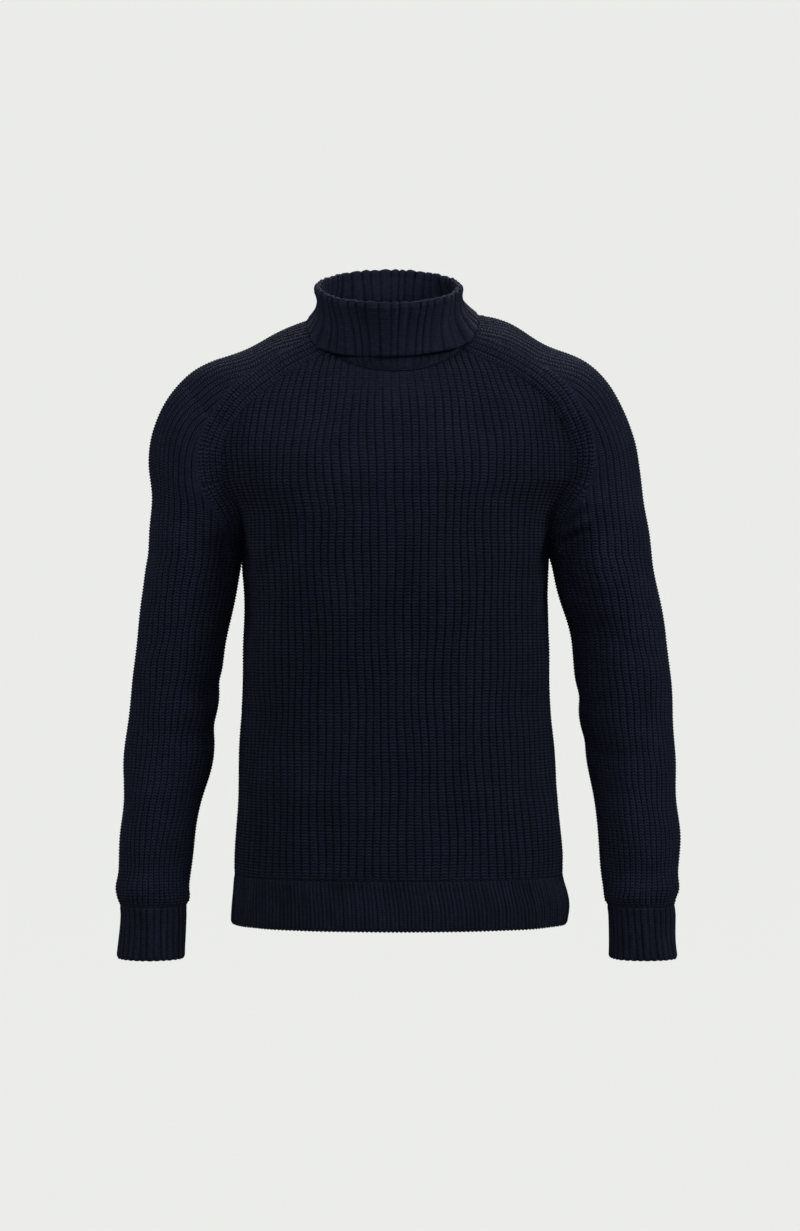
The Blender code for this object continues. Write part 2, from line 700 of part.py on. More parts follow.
def cuff(side):
    last = float(len(SLEEVE_DEPTH) - 1)
    middle, out, back, _ = sleeve_section(side, last)
    top = SLEEVES[side]["outer_z"][-1] - SEAM_GAP / 2

    def section(turn, z):
        down = top - z
        share = down / CUFF_LENGTH
        wider = 1.0 + CUFF_SPREAD * share - CUFF_WAIST * math.sin(math.pi * share)
        angle = turn if side == "right" else math.pi - turn
        place = middle + (out * math.cos(angle) + back * math.sin(angle)) * wider
        return np.array((place[0], place[1], z)) + np.array(CUFF_SLOPE[side]) * down

    return ribbed_ring("cuff_" + side, section, top, top - CUFF_LENGTH, CUFF_RIBS, 2)


def neckline_loop():
    """The neckline's shared points from the middle of the front, to the right and round."""
    loop = []
    steps = NECK_STEPS["front"]
    for i in range(steps // 2, steps + 1):
        loop.append(body_point("front", *neck_place("front", -1 + 2 * i / steps)))
    loop += strap_points("right")
    steps = NECK_STEPS["back"]
    for i in range(steps, -1, -1):
        loop.append(body_point("back", *neck_place("back", -1 + 2 * i / steps)))
    loop += list(reversed(strap_points("left")))
    steps = NECK_STEPS["front"]
    for i in range(0, steps // 2):
        loop.append(body_point("front", *neck_place("front", -1 + 2 * i / steps)))
    return loop


def strap_points(side):
    """Neck edge of a sleeve's strap between the two seams, front to back."""
    steps = NECK_STEPS["strap"]
    last = sleeve_section(side, 0.0)[3]
    return [sleeve_point(side, last * (-1 + 2 * i / steps), 0.0) for i in range(1, steps)]


def collar_ring(loop, level, layer_shift, rib_shift, per_rib):
    """Ring of collar points.

    layer_shift moves out from the collar's middle line, rib_shift is added on every
    second point.
    """
    count = per_rib * COLLAR_RIBS
    angles = np.unwrap([math.atan2(p[0] - COLLAR_MIDDLE[0], COLLAR_MIDDLE[1] - p[1]) for p in loop])
    angles = np.concatenate((angles, [angles[0] + 2 * math.pi]))
    closed = np.array(loop + [loop[0]])
    ring = []
    for k in range(count):
        angle = 2 * math.pi * k / count
        at = angle + (2 * math.pi if angle < angles[0] else 0.0)
        base = np.array([np.interp(at, angles, closed[:, axis]) for axis in range(3)])
        radial = unit(np.array((math.sin(angle) / COLLAR_FOLD["half"],
                                -math.cos(angle) / COLLAR_FOLD["depth"], 0)))
        fold = np.array((COLLAR_MIDDLE[0] + COLLAR_FOLD["half"] * math.sin(angle),
                         COLLAR_MIDDLE[1] - COLLAR_FOLD["depth"] * math.cos(angle),
                         COLLAR_FOLD["z"] - COLLAR_FOLD["tilt"] * math.cos(angle)))
        degrees = math.degrees(angle) - (360 if angle > math.pi else 0)
        edge = base + radial * np.interp(degrees, COLLAR_EDGE["angle"], COLLAR_EDGE["out"])
        edge[2] = np.interp(degrees, COLLAR_EDGE["angle"], COLLAR_EDGE["z"])
        start, end, bow = (base, fold, "stand") if level <= 1 else (fold, edge, "folded")
        along = level if level <= 1 else level - 1
        place = start + (end - start) * along - radial * COLLAR_BOW[bow] * math.sin(math.pi * along)
        ring.append(place + radial * (layer_shift + (rib_shift if k % 2 else 0.0)))
    return ring


def collar():
    """A tube folded over: the stand inside, the fold on top, the folded part outside."""
    loop = neckline_loop()
    bm = bmesh.new()
    near = COLLAR_APART / 2
    far = near + COLLAR_LAYER

    def rings(table, half_thickness, rib, per_rib):
        made = []
        for row in range(len(table["level"])):
            rib_shift = rib * table["rib"][row] if rib else 0.0
            shift = half_thickness * table["side"][row]
            places = collar_ring(loop, table["level"][row], shift, rib_shift, per_rib)
            made.append([new_vert(bm, place + (0, 0, table["lift"][row])) for place in places])
        return made

    above = np.array((0, 0, SEAM_GAP / 2))
    edge_out = [new_vert(bm, place + above) for place in loop]
    edge_in = [new_vert(bm, place + above - neck_normal(place) * COLLAR_LAYER) for place in loop]
    profile = [edge_in]
    profile += rings(COLLAR_SEEN, far, COLLAR_RIB, 2)
    profile += rings(COLLAR_HIDDEN, near, 0.0, 1)
    profile.append(edge_out)
    closed = [ring + ring[:1] for ring in profile]
    for one, other in zip(closed, closed[1:] + closed[:1]):
        zip_rows(bm, one, other)
    return make_object("collar", bm)


def clear_scene():
    for obj in list(bpy.data.objects):
        bpy.data.objects.remove(obj, do_unlink=True)


def main():
    clear_scene()
    for face in ("front", "back"):
        body_panel(face)
    for side in ("left", "right"):
        sleeve_tube(side)
        cuff(side)
    hem_band()
    collar()


main()
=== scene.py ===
import math

import bmesh
import bpy
import numpy as np
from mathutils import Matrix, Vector


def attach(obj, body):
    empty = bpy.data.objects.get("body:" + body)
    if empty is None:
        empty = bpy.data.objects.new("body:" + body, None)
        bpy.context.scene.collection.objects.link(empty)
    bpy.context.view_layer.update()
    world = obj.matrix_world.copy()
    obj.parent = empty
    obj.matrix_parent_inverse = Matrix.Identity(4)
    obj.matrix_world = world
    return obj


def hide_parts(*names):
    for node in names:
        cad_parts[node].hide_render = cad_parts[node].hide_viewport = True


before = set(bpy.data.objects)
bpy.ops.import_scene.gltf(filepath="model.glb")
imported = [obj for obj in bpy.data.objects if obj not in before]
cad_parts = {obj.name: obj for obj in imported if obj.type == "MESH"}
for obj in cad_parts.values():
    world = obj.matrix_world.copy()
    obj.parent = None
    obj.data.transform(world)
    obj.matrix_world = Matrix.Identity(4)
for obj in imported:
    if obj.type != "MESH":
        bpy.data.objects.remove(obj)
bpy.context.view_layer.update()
print("frame loaded:", len(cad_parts), "nodes")


# The form, by the same named sizes and tables as the solids. Metres, z up, the front faces -y
wall = 0.0026
seamGap = 0.00008       # the solids have 0.3 mm, through which the background would show
sectionPower = 2.3      # 2 would be an ellipse
underarm = 10           # row of the seam and sleeve tables at the underarm
hemTop = -0.609
hemBottom = -0.664

bodyForm = {
    "z": (0.020, -0.010, -0.028, -0.051, -0.090, -0.134, -0.170, -0.190, -0.208, -0.230,
          -0.250, -0.302, -0.358, -0.414, -0.470, -0.526, -0.582, -0.609, -0.640, -0.664),
    "half": (0.168, 0.178, 0.184, 0.195, 0.211, 0.220, 0.209, 0.192, 0.179, 0.1725,
             0.1715, 0.169, 0.170, 0.171, 0.175, 0.1775, 0.1825, 0.183, 0.1875, 0.1875),
    "front": (0.028, 0.036, 0.048, 0.066, 0.092, 0.111, 0.120, 0.123, 0.125, 0.1255,
              0.125, 0.122, 0.117, 0.113, 0.111, 0.112, 0.114, 0.115, 0.117, 0.117),
    "back": (0.062, 0.076, 0.083, 0.091, 0.103, 0.112, 0.115, 0.115, 0.114, 0.113,
             0.111, 0.106, 0.102, 0.100, 0.101, 0.104, 0.108, 0.110, 0.112, 0.112),
    "middle": (-0.004, -0.004, -0.004, -0.004, -0.003, -0.003, -0.002, -0.002, -0.001, -0.001,
               -0.001, 0.0, 0.0, 0.0, 0.001, 0.002, 0.003, 0.003, 0.005, 0.004),
}

# Raglan seams from neck to underarm: share of the way from the middle to the side, and height
seamForm = {
    "left": {
        "share": (0.340, 0.485, 0.590, 0.655, 0.695, 0.725, 0.750, 0.775, 0.805, 0.870, 1.0),
        "z": (-0.028, -0.047, -0.070, -0.093, -0.120, -0.149, -0.171, -0.190, -0.208, -0.230, -0.250),
    },
    "right": {
        "share": (0.385, 0.530, 0.640, 0.700, 0.735, 0.757, 0.776, 0.797, 0.830, 0.890, 1.0),
        "z": (-0.026, -0.042, -0.060, -0.078, -0.102, -0.130, -0.156, -0.179, -0.203, -0.228, -0.250),
    },
    "backLift": (0.040, 0.036, 0.029, 0.020, 0.011, 0.005, 0.001, 0.0, 0.0, 0.0, 0.0),
}

belowUnderarm = (-0.269, -0.302, -0.347, -0.392, -0.437, -0.482, -0.526, -0.571, -0.616, -0.633, -0.6415)

sleeveForm = {
    "left": {
        "outerX": (-0.088, -0.130, -0.165, -0.204, -0.235, -0.2576, -0.270, -0.2744, -0.272, -0.2744,
                   -0.2766, -0.280, -0.2834, -0.289, -0.2957, -0.300, -0.3024, -0.3035, -0.307, -0.309,
                   -0.308, -0.306),
        "outerZ": (0.010, -0.003, -0.022, -0.034, -0.053, -0.078, -0.112, -0.151, -0.190, -0.224,
                   -0.250) + belowUnderarm,
        "innerX": (-0.1765, -0.1825, -0.1905, -0.196, -0.2016, -0.207, -0.217, -0.226, -0.2307,
                   -0.230, -0.2335),
    },
    "right": {
        "outerX": (0.087, 0.1254, 0.167, 0.208, 0.235, 0.254, 0.2654, 0.270, 0.2755, 0.282,
                   0.2856, 0.288, 0.2934, 0.3013, 0.307, 0.310, 0.3114, 0.3114, 0.3147, 0.3147,
                   0.3105, 0.309),
        "outerZ": (0.012, 0.003, -0.019, -0.035, -0.058, -0.090, -0.123, -0.157, -0.194, -0.226,
                   -0.250) + belowUnderarm,
        "innerX": (0.177, 0.185, 0.197, 0.2027, 0.207, 0.214, 0.223, 0.2274, 0.2307, 0.2315, 0.236),
    },
    "depth": (0.050, 0.055, 0.060, 0.065, 0.068, 0.070, 0.071, 0.072, 0.0725, 0.0705, 0.068,
              0.0665, 0.0655, 0.063, 0.060, 0.058, 0.0555, 0.052, 0.048, 0.044, 0.0425, 0.040),
    "middleY": (0.0,) * 12 + (0.001, 0.003, 0.004, 0.003, 0.0, -0.006, -0.014, -0.022, -0.025, -0.0265),
}

neckForm = {"frontZ": -0.051, "backZ": 0.018, "curve": 2.4, "halfWide": 0.088, "halfDeep": 0.064}


def alongTable(values, t):
    # a smooth curve through the column, at fractional indices t
    values = np.asarray(values, float)
    last = len(values) - 1
    t = np.clip(np.asarray(t, float), 0.0, last)
    i = np.minimum(t.astype(int), last - 1)
    f = t - i
    padded = np.concatenate(([2 * values[0] - values[1]], values, [2 * values[-1] - values[-2]]))
    a, b, c, d = padded[i], padded[i + 1], padded[i + 2], padded[i + 3]
    return b + 0.5 * f * (c - a + f * (2 * a - 5 * b + 4 * c - d + f * (3 * (b - c) + d - a)))


def unit(v):
    return v / np.maximum(np.linalg.norm(v, axis=-1, keepdims=True), 1e-12)


def smooth(low, high, x):
    t = np.clip((x - low) / (high - low), 0.0, 1.0)
    return t * t * (3 - 2 * t)


# Quarter of a rounded section, by depth over width and by share of its length
ratioGrid = np.linspace(0.10, 1.10, 61)
shareGrid = np.linspace(0.0, 1.0, 301)


def sectionTables():
    turn = np.linspace(0, math.pi / 2, 600)
    across, deep = np.sin(turn) ** (2 / sectionPower), np.cos(turn) ** (2 / sectionPower)
    acrossRows, deepRows = [], []
    for ratio in ratioGrid:
        length = np.concatenate(([0.0], np.cumsum(np.hypot(np.diff(across), ratio * np.diff(deep)))))
        acrossRows.append(np.interp(shareGrid, length / length[-1], across))
        deepRows.append(np.interp(shareGrid, length / length[-1], deep))
    return np.array(acrossRows), np.array(deepRows)


acrossTable, deepTable = sectionTables()


def lookUp(table, ratio, share):
    r = np.clip((ratio - ratioGrid[0]) / (ratioGrid[1] - ratioGrid[0]), 0, len(ratioGrid) - 1.001)
    s = np.clip(share * (len(shareGrid) - 1), 0, len(shareGrid) - 1.001)
    i, j = r.astype(int), s.astype(int)
    fr, fs = r - i, s - j
    low = table[i, j] * (1 - fs) + table[i, j + 1] * fs
    high = table[i + 1, j] * (1 - fs) + table[i + 1, j + 1] * fs
    return low * (1 - fr) + high * fr


def bodySize(face, z):
    heights = -np.array(bodyForm["z"])
    at = np.interp(-np.asarray(z, float), heights, range(len(heights)))
    return tuple(alongTable(bodyForm[key], at) for key in ("half", face, "middle"))


def bodyPoint(face, u, z):
    # u is 0 at the middle of the front or back and 1 at the side seam
    u, z = np.broadcast_arrays(np.asarray(u, float), np.asarray(z, float))
    half, deep, middle = bodySize(face, z)
    at = np.minimum(np.abs(u), 1.0)
    x = middle + np.sign(u) * half * lookUp(acrossTable, deep / half, at)
    y = deep * lookUp(deepTable, deep / half, at) - np.maximum(np.abs(u) - 1, 0) * (half + deep)
    return np.stack((x, -y if face == "front" else y, z), axis=-1)


def bodyShare(face, x, z):
    half, deep, middle = (float(v) for v in bodySize(face, z))
    across = half * lookUp(acrossTable, np.full(shareGrid.shape, deep / half), shareGrid)
    return math.copysign(float(np.interp(abs(x - middle), across, shareGrid)), x - middle)


def halfLength(face, z):
    # from the middle of the face to the side seam, along the cloth
    half, deep, _ = bodySize(face, z)
    return np.sqrt((half ** 2 + deep ** 2) / 2) * math.pi / 2 * 1.03


def seamPlace(side, face, v):
    v = np.asarray(v, float)
    lift = alongTable(seamForm["backLift"], v) if face == "back" else 0.0
    share = np.where(v >= underarm, 1.0, np.minimum(alongTable(seamForm[side]["share"], v), 1.0))
    return (-share if side == "left" else share), alongTable(seamForm[side]["z"], v) + lift


def seamPoint(side, face, v):
    return bodyPoint(face, *seamPlace(side, face, v))


def sleeveParts(side, v):
    # middle, way to the outer side, way to the back, and the last turn, of the section at v
    v = np.asarray(v, float)
    form = sleeveForm[side]
    outerX, outerZ = alongTable(form["outerX"], v), alongTable(form["outerZ"], v)
    depth = alongTable(sleeveForm["depth"], v)
    below = v >= underarm
    middleY = alongTable(sleeveForm["middleY"], v)
    firstInner = float(seamPoint(side, "front", float(underarm))[0])
    innerX = alongTable((firstInner,) + form["innerX"], v - underarm)
    ringMiddle = np.stack(((innerX + outerX) / 2, middleY, outerZ), axis=-1)
    ringOut = np.stack(((outerX - innerX) / 2, 0 * v, 0 * v), axis=-1)
    ringBack = np.stack((0 * v, depth, 0 * v), axis=-1)
    front, back = (seamPoint(side, face, np.minimum(v, underarm)) for face in ("front", "back"))
    base = (front + back) / 2
    reach = np.linalg.norm(back - front, axis=-1) / 2
    depth = np.maximum(depth, reach)
    last = math.pi - np.arcsin(np.clip(reach / depth, 0, 1))
    height = np.stack((outerX, base[..., 1], outerZ), axis=-1) - base
    share = (np.cos(last) / (1 - np.cos(last)))[..., None]
    middle = base - height * share
    backWay = np.where(reach[..., None] > 1e-5, unit(back - front), (0.0, 1.0, 0.0)) * depth[..., None]
    flag = below[..., None]
    return (np.where(flag, ringMiddle, middle), np.where(flag, ringOut, base + height - middle),
            np.where(flag, ringBack, backWay), np.where(below, math.pi, last))


vInset = 0.02           # normals of a sleeve are taken this far inside its ends


def sleevePoint(side, turn, v):
    middle, out, back, _ = sleeveParts(side, v)
    turn = np.asarray(turn, float)[..., None]
    return middle + out * np.cos(turn) + back * np.sin(turn)


def surfaceNormal(point, core, a, b, step=1.5e-3):
    alongA = point(a + step, b) - point(a - step, b)
    alongB = point(a, b + step) - point(a, b - step)
    normal = unit(np.cross(alongA, alongB))
    inward = np.sum(normal * (point(a, b) - core(a, b)), axis=-1, keepdims=True) < 0
    return np.where(inward, -normal, normal)


def bodyNormal(face, u, z):
    def core(a, b):
        a, b = np.broadcast_arrays(a, b)
        return np.stack((0 * a, 0 * a, np.minimum(b, -0.08)), axis=-1)
    u, z = np.asarray(u, float), np.asarray(z, float)
    return surfaceNormal(lambda a, b: bodyPoint(face, a, b), core, u, z)


def sleeveNormal(side, turn, v):
    def core(a, b):
        return sleeveParts(side, b)[0] + 0 * np.asarray(a)[..., None]
    turn, v = np.asarray(turn, float), np.asarray(v, float)
    return surfaceNormal(lambda a, b: sleevePoint(side, a, b), core, turn, v)


def neckOut(place):
    out = np.stack((place[..., 0], place[..., 1] + 0.005, 0 * place[..., 0]), axis=-1)
    return unit(out / (neckForm["halfWide"] ** 2, neckForm["halfDeep"] ** 2, 1.0))


def neckPlace(face, share):
    side = "left" if share < 0 else "right"
    seamZ = float(seamPlace(side, face, 0.0)[1])
    low = neckForm[face + "Z"]
    z = low + (seamZ - low) * abs(share) ** neckForm["curve"]
    left, right = float(seamPoint("left", face, 0.0)[0]), float(seamPoint("right", face, 0.0)[0])
    return bodyShare(face, left + (right - left) * (share + 1) / 2, z), z


# Creases: width, depth (a ridge below 0) and the path, a row of places on the piece.
# On the body a place is (u, z), on a sleeve (share round from the outer side, v)
creases = {
    "front": [
        (0.013, 0.0030, ((-0.90, -0.236), (-0.80, -0.262), (-0.70, -0.292))),
        (0.014, 0.0024, ((-0.97, -0.262), (-0.88, -0.300), (-0.80, -0.345))),
        (0.012, -0.0020, ((-0.86, -0.190), (-0.80, -0.215), (-0.76, -0.245))),
        (0.013, 0.0032, ((0.93, -0.238), (0.82, -0.255), (0.71, -0.280))),
        (0.012, 0.0026, ((0.97, -0.268), (0.88, -0.292), (0.78, -0.330))),
        (0.010, -0.0022, ((0.88, -0.215), (0.80, -0.228), (0.74, -0.250))),
        (0.020, 0.0022, ((-0.95, -0.420), (-0.70, -0.432), (-0.45, -0.428))),
        (0.020, 0.0020, ((0.95, -0.405), (0.72, -0.420), (0.40, -0.422))),
        (0.022, -0.0018, ((-0.92, -0.500), (-0.66, -0.520), (-0.34, -0.512))),
        (0.022, -0.0020, ((0.94, -0.520), (0.70, -0.538), (0.40, -0.530))),
        (0.018, 0.0014, ((-0.30, -0.070), (-0.34, -0.110), (-0.42, -0.160))),
        (0.018, 0.0014, ((0.34, -0.066), (0.40, -0.110), (0.50, -0.165))),
    ],
    "back": [
        (0.014, 0.0030, ((-0.92, -0.236), (-0.80, -0.266), (-0.66, -0.300))),
        (0.014, 0.0030, ((0.92, -0.240), (0.80, -0.262), (0.68, -0.290))),
        (0.020, 0.0026, ((-0.95, -0.400), (-0.60, -0.425), (-0.10, -0.430))),
        (0.020, 0.0024, ((0.95, -0.390), (0.60, -0.405), (0.15, -0.400))),
        (0.020, -0.0022, ((-0.90, -0.455), (-0.50, -0.470), (0.0, -0.462))),
        (0.020, -0.0018, ((0.90, -0.480), (0.55, -0.500), (0.20, -0.492))),
    ],
    "left": [
        (0.010, 0.0036, ((-0.62, 9.2), (-0.74, 10.2), (-0.80, 11.4))),
        (0.014, -0.0022, ((-0.40, 8.8), (-0.52, 10.4), (-0.60, 12.0))),
        (0.014, 0.0020, ((-0.75, 12.2), (-0.45, 12.9), (-0.15, 13.1))),
        (0.013, 0.0030, ((0.75, 13.8), (0.98, 14.1), (-0.80, 14.3), (-0.50, 14.2))),
        (0.013, 0.0026, ((0.80, 15.0), (-0.95, 15.2), (-0.60, 15.4), (-0.25, 15.2))),
        (0.014, -0.0018, ((-0.70, 16.6), (-0.40, 16.9), (-0.05, 16.7))),
        (0.013, 0.0022, ((-0.85, 18.4), (-0.50, 18.6), (-0.10, 18.5))),
        (0.011, -0.0026, ((-0.9, 19.1), (-0.55, 19.3), (-0.15, 19.2), (0.3, 19.2))),
        (0.015, 0.0024, ((0.30, 13.0), (0.55, 13.6), (0.75, 13.9))),
    ],
    "right": [
        (0.010, 0.0034, ((-0.60, 9.3), (-0.72, 10.3), (-0.80, 11.3))),
        (0.011, -0.0030, ((-0.42, 9.0), (-0.52, 10.2), (-0.60, 11.2))),
        (0.010, 0.0026, ((-0.84, 11.4), (-0.66, 11.9), (-0.45, 12.0))),
        (0.0055, 0.0036, ((-0.80, 9.75), (-0.70, 9.30), (-0.56, 8.90))),
        (0.0050, -0.0028, ((-0.76, 9.30), (-0.66, 8.85), (-0.54, 8.45))),
        (0.0050, 0.0026, ((-0.72, 8.80), (-0.64, 8.40), (-0.54, 8.05))),
        (0.014, 0.0018, ((-0.70, 12.8), (-0.42, 13.2), (-0.15, 13.3))),
        (0.013, 0.0030, ((0.75, 14.0), (0.98, 14.4), (-0.80, 14.6), (-0.50, 14.5))),
        (0.013, 0.0024, ((0.80, 15.4), (-0.95, 15.6), (-0.60, 15.8), (-0.30, 15.7))),
        (0.012, 0.0020, ((-0.80, 18.5), (-0.50, 18.7), (-0.10, 18.6))),
        (0.011, -0.0024, ((-0.9, 19.2), (-0.55, 19.4), (-0.15, 19.3), (0.3, 19.3))),
        (0.015, 0.0022, ((0.30, 13.2), (0.55, 13.8), (0.75, 14.1))),
    ],
}


def lengthsAlong(line):
    # how far along its line each point lies
    steps = np.linalg.norm(np.diff(line, axis=-2), axis=-1)
    return np.concatenate((0 * steps[..., :1], np.cumsum(steps, axis=-1)), axis=-1)


def between(at, stations, line, **wrap):
    # the points of a line at given stations
    return np.stack([np.interp(at, stations, column, **wrap) for column in line.T], axis=-1)


def dense(path, count=40):
    path = np.array(path, float)
    return between(np.linspace(0, len(path) - 1, count), range(len(path)), path).T


def nearest(points, line, reach):
    # distance to a dense row of points, and how far along it the nearest one is
    flatPoints = points.reshape(-1, 3).astype(np.float32)
    line = line.astype(np.float32)
    lengths = lengthsAlong(line)
    gaps = np.full(len(flatPoints), 9.0, np.float32)
    places = np.zeros(len(flatPoints), np.float32)
    low, high = line.min(0) - reach, line.max(0) + reach
    close = np.flatnonzero(np.all((flatPoints > low) & (flatPoints < high), axis=1))
    for start in range(0, len(close), 20000):
        part = close[start:start + 20000]
        squares = ((flatPoints[part, None, :] - line[None]) ** 2).sum(-1)
        best = squares.argmin(1)
        gaps[part] = np.sqrt(squares[np.arange(len(part)), best])
        places[part] = lengths[best]
    return gaps.reshape(points.shape[:-1]), places.reshape(points.shape[:-1])


def creaseDepth(points, lines):
    total = np.zeros(points.shape[:-1])
    for line, width, depth in lines:
        gap, along = nearest(points, line, width * 3)
        length = np.linalg.norm(np.diff(line, axis=0), axis=1).sum()
        taper = np.sqrt(np.maximum(np.sin(math.pi * along / max(length, 1e-6)), 0.0))
        total -= depth * taper * np.exp(-(gap / width) ** 2)
    return total


def slump(points, seed, size, depth):
    # slow unevenness that any worn cloth has: a few fixed waves
    rng = np.random.default_rng(seed)
    total = np.zeros(points.shape[:-1])
    for _ in range(7):
        way = unit(rng.normal(size=3)) * rng.uniform(0.6, 1.5) * 2 * math.pi / size
        total += np.sin(points @ way + rng.uniform(0, 6.28))
    return total * depth / 2.6


# Meshes: rows of points are joined into closed shells

def closed(row):
    return np.concatenate((row, row[:1]))


def pointLayer(mesh, name, kind, values):
    layer = mesh.attributes.new(name, kind, "POINT")
    layer.data.foreach_set("value" if kind == "FLOAT" else "vector", values.astype(np.float32).ravel())


class Shell:
    def __init__(self):
        self.places, self.ribs, self.rows, self.fade, self.outward = [], [], [], [], []
        self.quads, self.tris = [], []
        self.count = 0

    def add(self, places, ribs, rows, fade, outward):
        places = np.asarray(places, float).reshape(-1, 3)
        n = len(places)
        self.places.append(places)
        for store, value in ((self.ribs, ribs), (self.rows, rows), (self.fade, fade)):
            value = np.asarray(value, float).reshape(-1) if np.ndim(value) else value
            store.append(np.broadcast_to(value, (n,)))
        self.outward.append(np.broadcast_to(np.asarray(outward, float).reshape(-1, 3), (n, 3)))
        self.count += n
        return np.arange(self.count - n, self.count)

    def addKept(self, kept, *columns):
        # a grid whose columns end at different rows. What lies past them has the index -1
        use = np.arange(columns[0].shape[1])[None, :] <= kept[:, None]
        index = np.full(use.shape, -1)
        index[use] = self.add(*(column[use] for column in columns))
        return index

    def quadGrid(self, index):
        a, b, c, d = index[:-1, :-1], index[1:, :-1], index[1:, 1:], index[:-1, 1:]
        quads = np.stack((a, b, c, d), axis=-1).reshape(-1, 4)
        self.quads.append(quads[(quads >= 0).all(1)])

    def zip(self, first, second):
        # triangles between two rows of points: along the shorter cross line, while the rows keep level
        places = np.concatenate(self.places)
        p, q = places[first], places[second]
        beside = [0]
        for point in p[1:]:
            low = beside[-1]
            gaps = ((q[low:low + 30] - point) ** 2).sum(1)
            beside.append(low + int(gaps.argmin()))
        i = j = 0
        made = []
        while i < len(first) - 1 or j < len(second) - 1:
            if j == len(second) - 1:
                forward = True
            elif i == len(first) - 1:
                forward = False
            elif abs(j - beside[i]) > 3 and abs(j - beside[i + 1]) > 3:
                forward = j > beside[i + 1]
            else:
                ahead, across = p[i + 1] - q[j], p[i] - q[j + 1]
                forward = ahead @ ahead <= across @ across
            corners = (first[i], second[j], first[i + 1] if forward else second[j + 1])
            if len(set(corners)) == 3:
                made.append(corners)
            i += forward
            j += not forward
        self.tris.append(np.array(made, int).reshape(-1, 3))

    def mesh(self, name):
        places, quads, tris = (np.concatenate(rows) for rows in (self.places, self.quads, self.tris))
        mesh = bpy.data.meshes.new(name)
        mesh.vertices.add(len(places))
        mesh.vertices.foreach_set("co", places.astype(np.float32).ravel())
        loops = np.concatenate((quads.ravel(), tris.ravel()))
        starts = np.concatenate((np.arange(len(quads)) * 4, len(quads) * 4 + np.arange(len(tris)) * 3))
        mesh.loops.add(len(loops))
        mesh.loops.foreach_set("vertex_index", loops.astype(np.int32))
        mesh.polygons.add(len(starts))
        mesh.polygons.foreach_set("loop_start", starts.astype(np.int32))
        mesh.update(calc_edges=True)
        bm = bmesh.new()
        bm.from_mesh(mesh)
        bmesh.ops.recalc_face_normals(bm, faces=bm.faces[:])
        bm.to_mesh(mesh)
        bm.free()
        for attribute, values in (("ribs", self.ribs), ("rows", self.rows), ("fade", self.fade)):
            pointLayer(mesh, attribute, "FLOAT", np.concatenate(values))
        pointLayer(mesh, "outward", "FLOAT_VECTOR", np.concatenate(self.outward))
        mesh.shade_smooth()
        return mesh


def ribLines(knit):
    # all lines of points round a piece, counted in ribs
    return np.array([k + p for k in range(knit["ribs"]) for p in knit["perRib"]])


innerStep = 0.0066      # between rows of points on the inside of a wall
outerMargin, innerMargin = 0.0009, 0.004        # what a layer leaves free beside its edge


def layerSizes(knit, outer):
    # step between rows of points, way from the surface, relief and margin of a layer
    return (knit["row"] / 2, 0.0, 1.0, outerMargin) if outer else (innerStep, -wall, 0.0, innerMargin)


def lastFits(fits):
    # the last row before the first one that doesn't fit, in each column
    return np.array([len(row) - 1 if row.all() else np.flatnonzero(~row)[0] - 1 for row in fits])


def stepTops(index, kept):
    # the ragged upper edge of a grid whose columns end at different rows
    line = [index[0, kept[0]]]
    for k in range(len(kept) - 1):
        here, there = kept[k], kept[k + 1]
        if there < here:
            line += [index[k, r] for r in range(here - 1, there - 1, -1)]
            line.append(index[k + 1, there])
        else:
            line += [index[k + 1, r] for r in range(here, there + 1)]
    return np.array(line)


# Where front or back meets a sleeve, both edges are lifted along their common normal,
# by rows of the seam tables. The crest is what the edge itself rises beyond the cloth beside it
seamFill = {
    "height": 0.0056, "rise": (1.5, 4.0), "fall": (7.5, 9.6), "reach": 0.026,
    "crest": 0.0009, "crestRise": (0.0, 0.4), "crestFall": (9.2, 9.8),
}


def seamFrames(side, face, steps):
    # places along one raglan seam, with both pieces' normals and how the seam is filled
    v = underarm * np.arange(steps + 1) / steps
    u, z = seamPlace(side, face, v)
    turn = sleeveParts(side, v)[3] * (-1 if face == "front" else 1)
    ofBody = bodyNormal(face, np.sign(u) * np.minimum(np.abs(u), 0.998), z)
    ofSleeve = sleeveNormal(side, turn, np.clip(v, vInset, underarm - vInset))
    common = unit(ofBody + ofSleeve)
    amount = smooth(*seamFill["rise"], v) * (1 - smooth(*seamFill["fall"], v))
    ends = smooth(*seamFill["crestRise"], v) * (1 - smooth(*seamFill["crestFall"], v))
    return {
        "v": v, "u": u, "z": z, "turn": turn, "place": bodyPoint(face, u, z),
        "bodyNormal": ofBody, "sleeveNormal": ofSleeve,
        "lifts": common * (amount * seamFill["height"])[:, None],
        "crest": common * (ends * seamFill["crest"])[:, None],
    }


def seamLift(places, seamPlaces, lifts):
    # the lift of points near a seam, less with distance
    gap, along = nearest(places, seamPlaces, seamFill["reach"] * 1.1)
    share = np.maximum(1 - gap / seamFill["reach"], 0.0) ** 2
    return between(along, lengthsAlong(seamPlaces.astype(np.float32)), lifts) * share[..., None]


def topEdge(first, middle, second):
    # up one seam, along the neck edge and down the other seam
    return {key: np.concatenate((first[key][::-1], middle[key], second[key])) for key in middle}


softMeet = 0.35         # normals with this dot product or more share one cut
steepCut = 0.6          # so that no cut is longer than the wall over this


def cutDown(place, own, other):
    # inner corner of a wall at a shared seam: cut along the pieces' common normal if they meet softly
    share = np.clip(np.sum(own * other, axis=-1) / softMeet, 0.0, 1.0)[..., None]
    cut = unit(unit(own + other) * share + own * (1 - share))
    reach = wall / np.maximum(np.sum(cut * own, axis=-1, keepdims=True), steepCut)
    return place - cut * reach


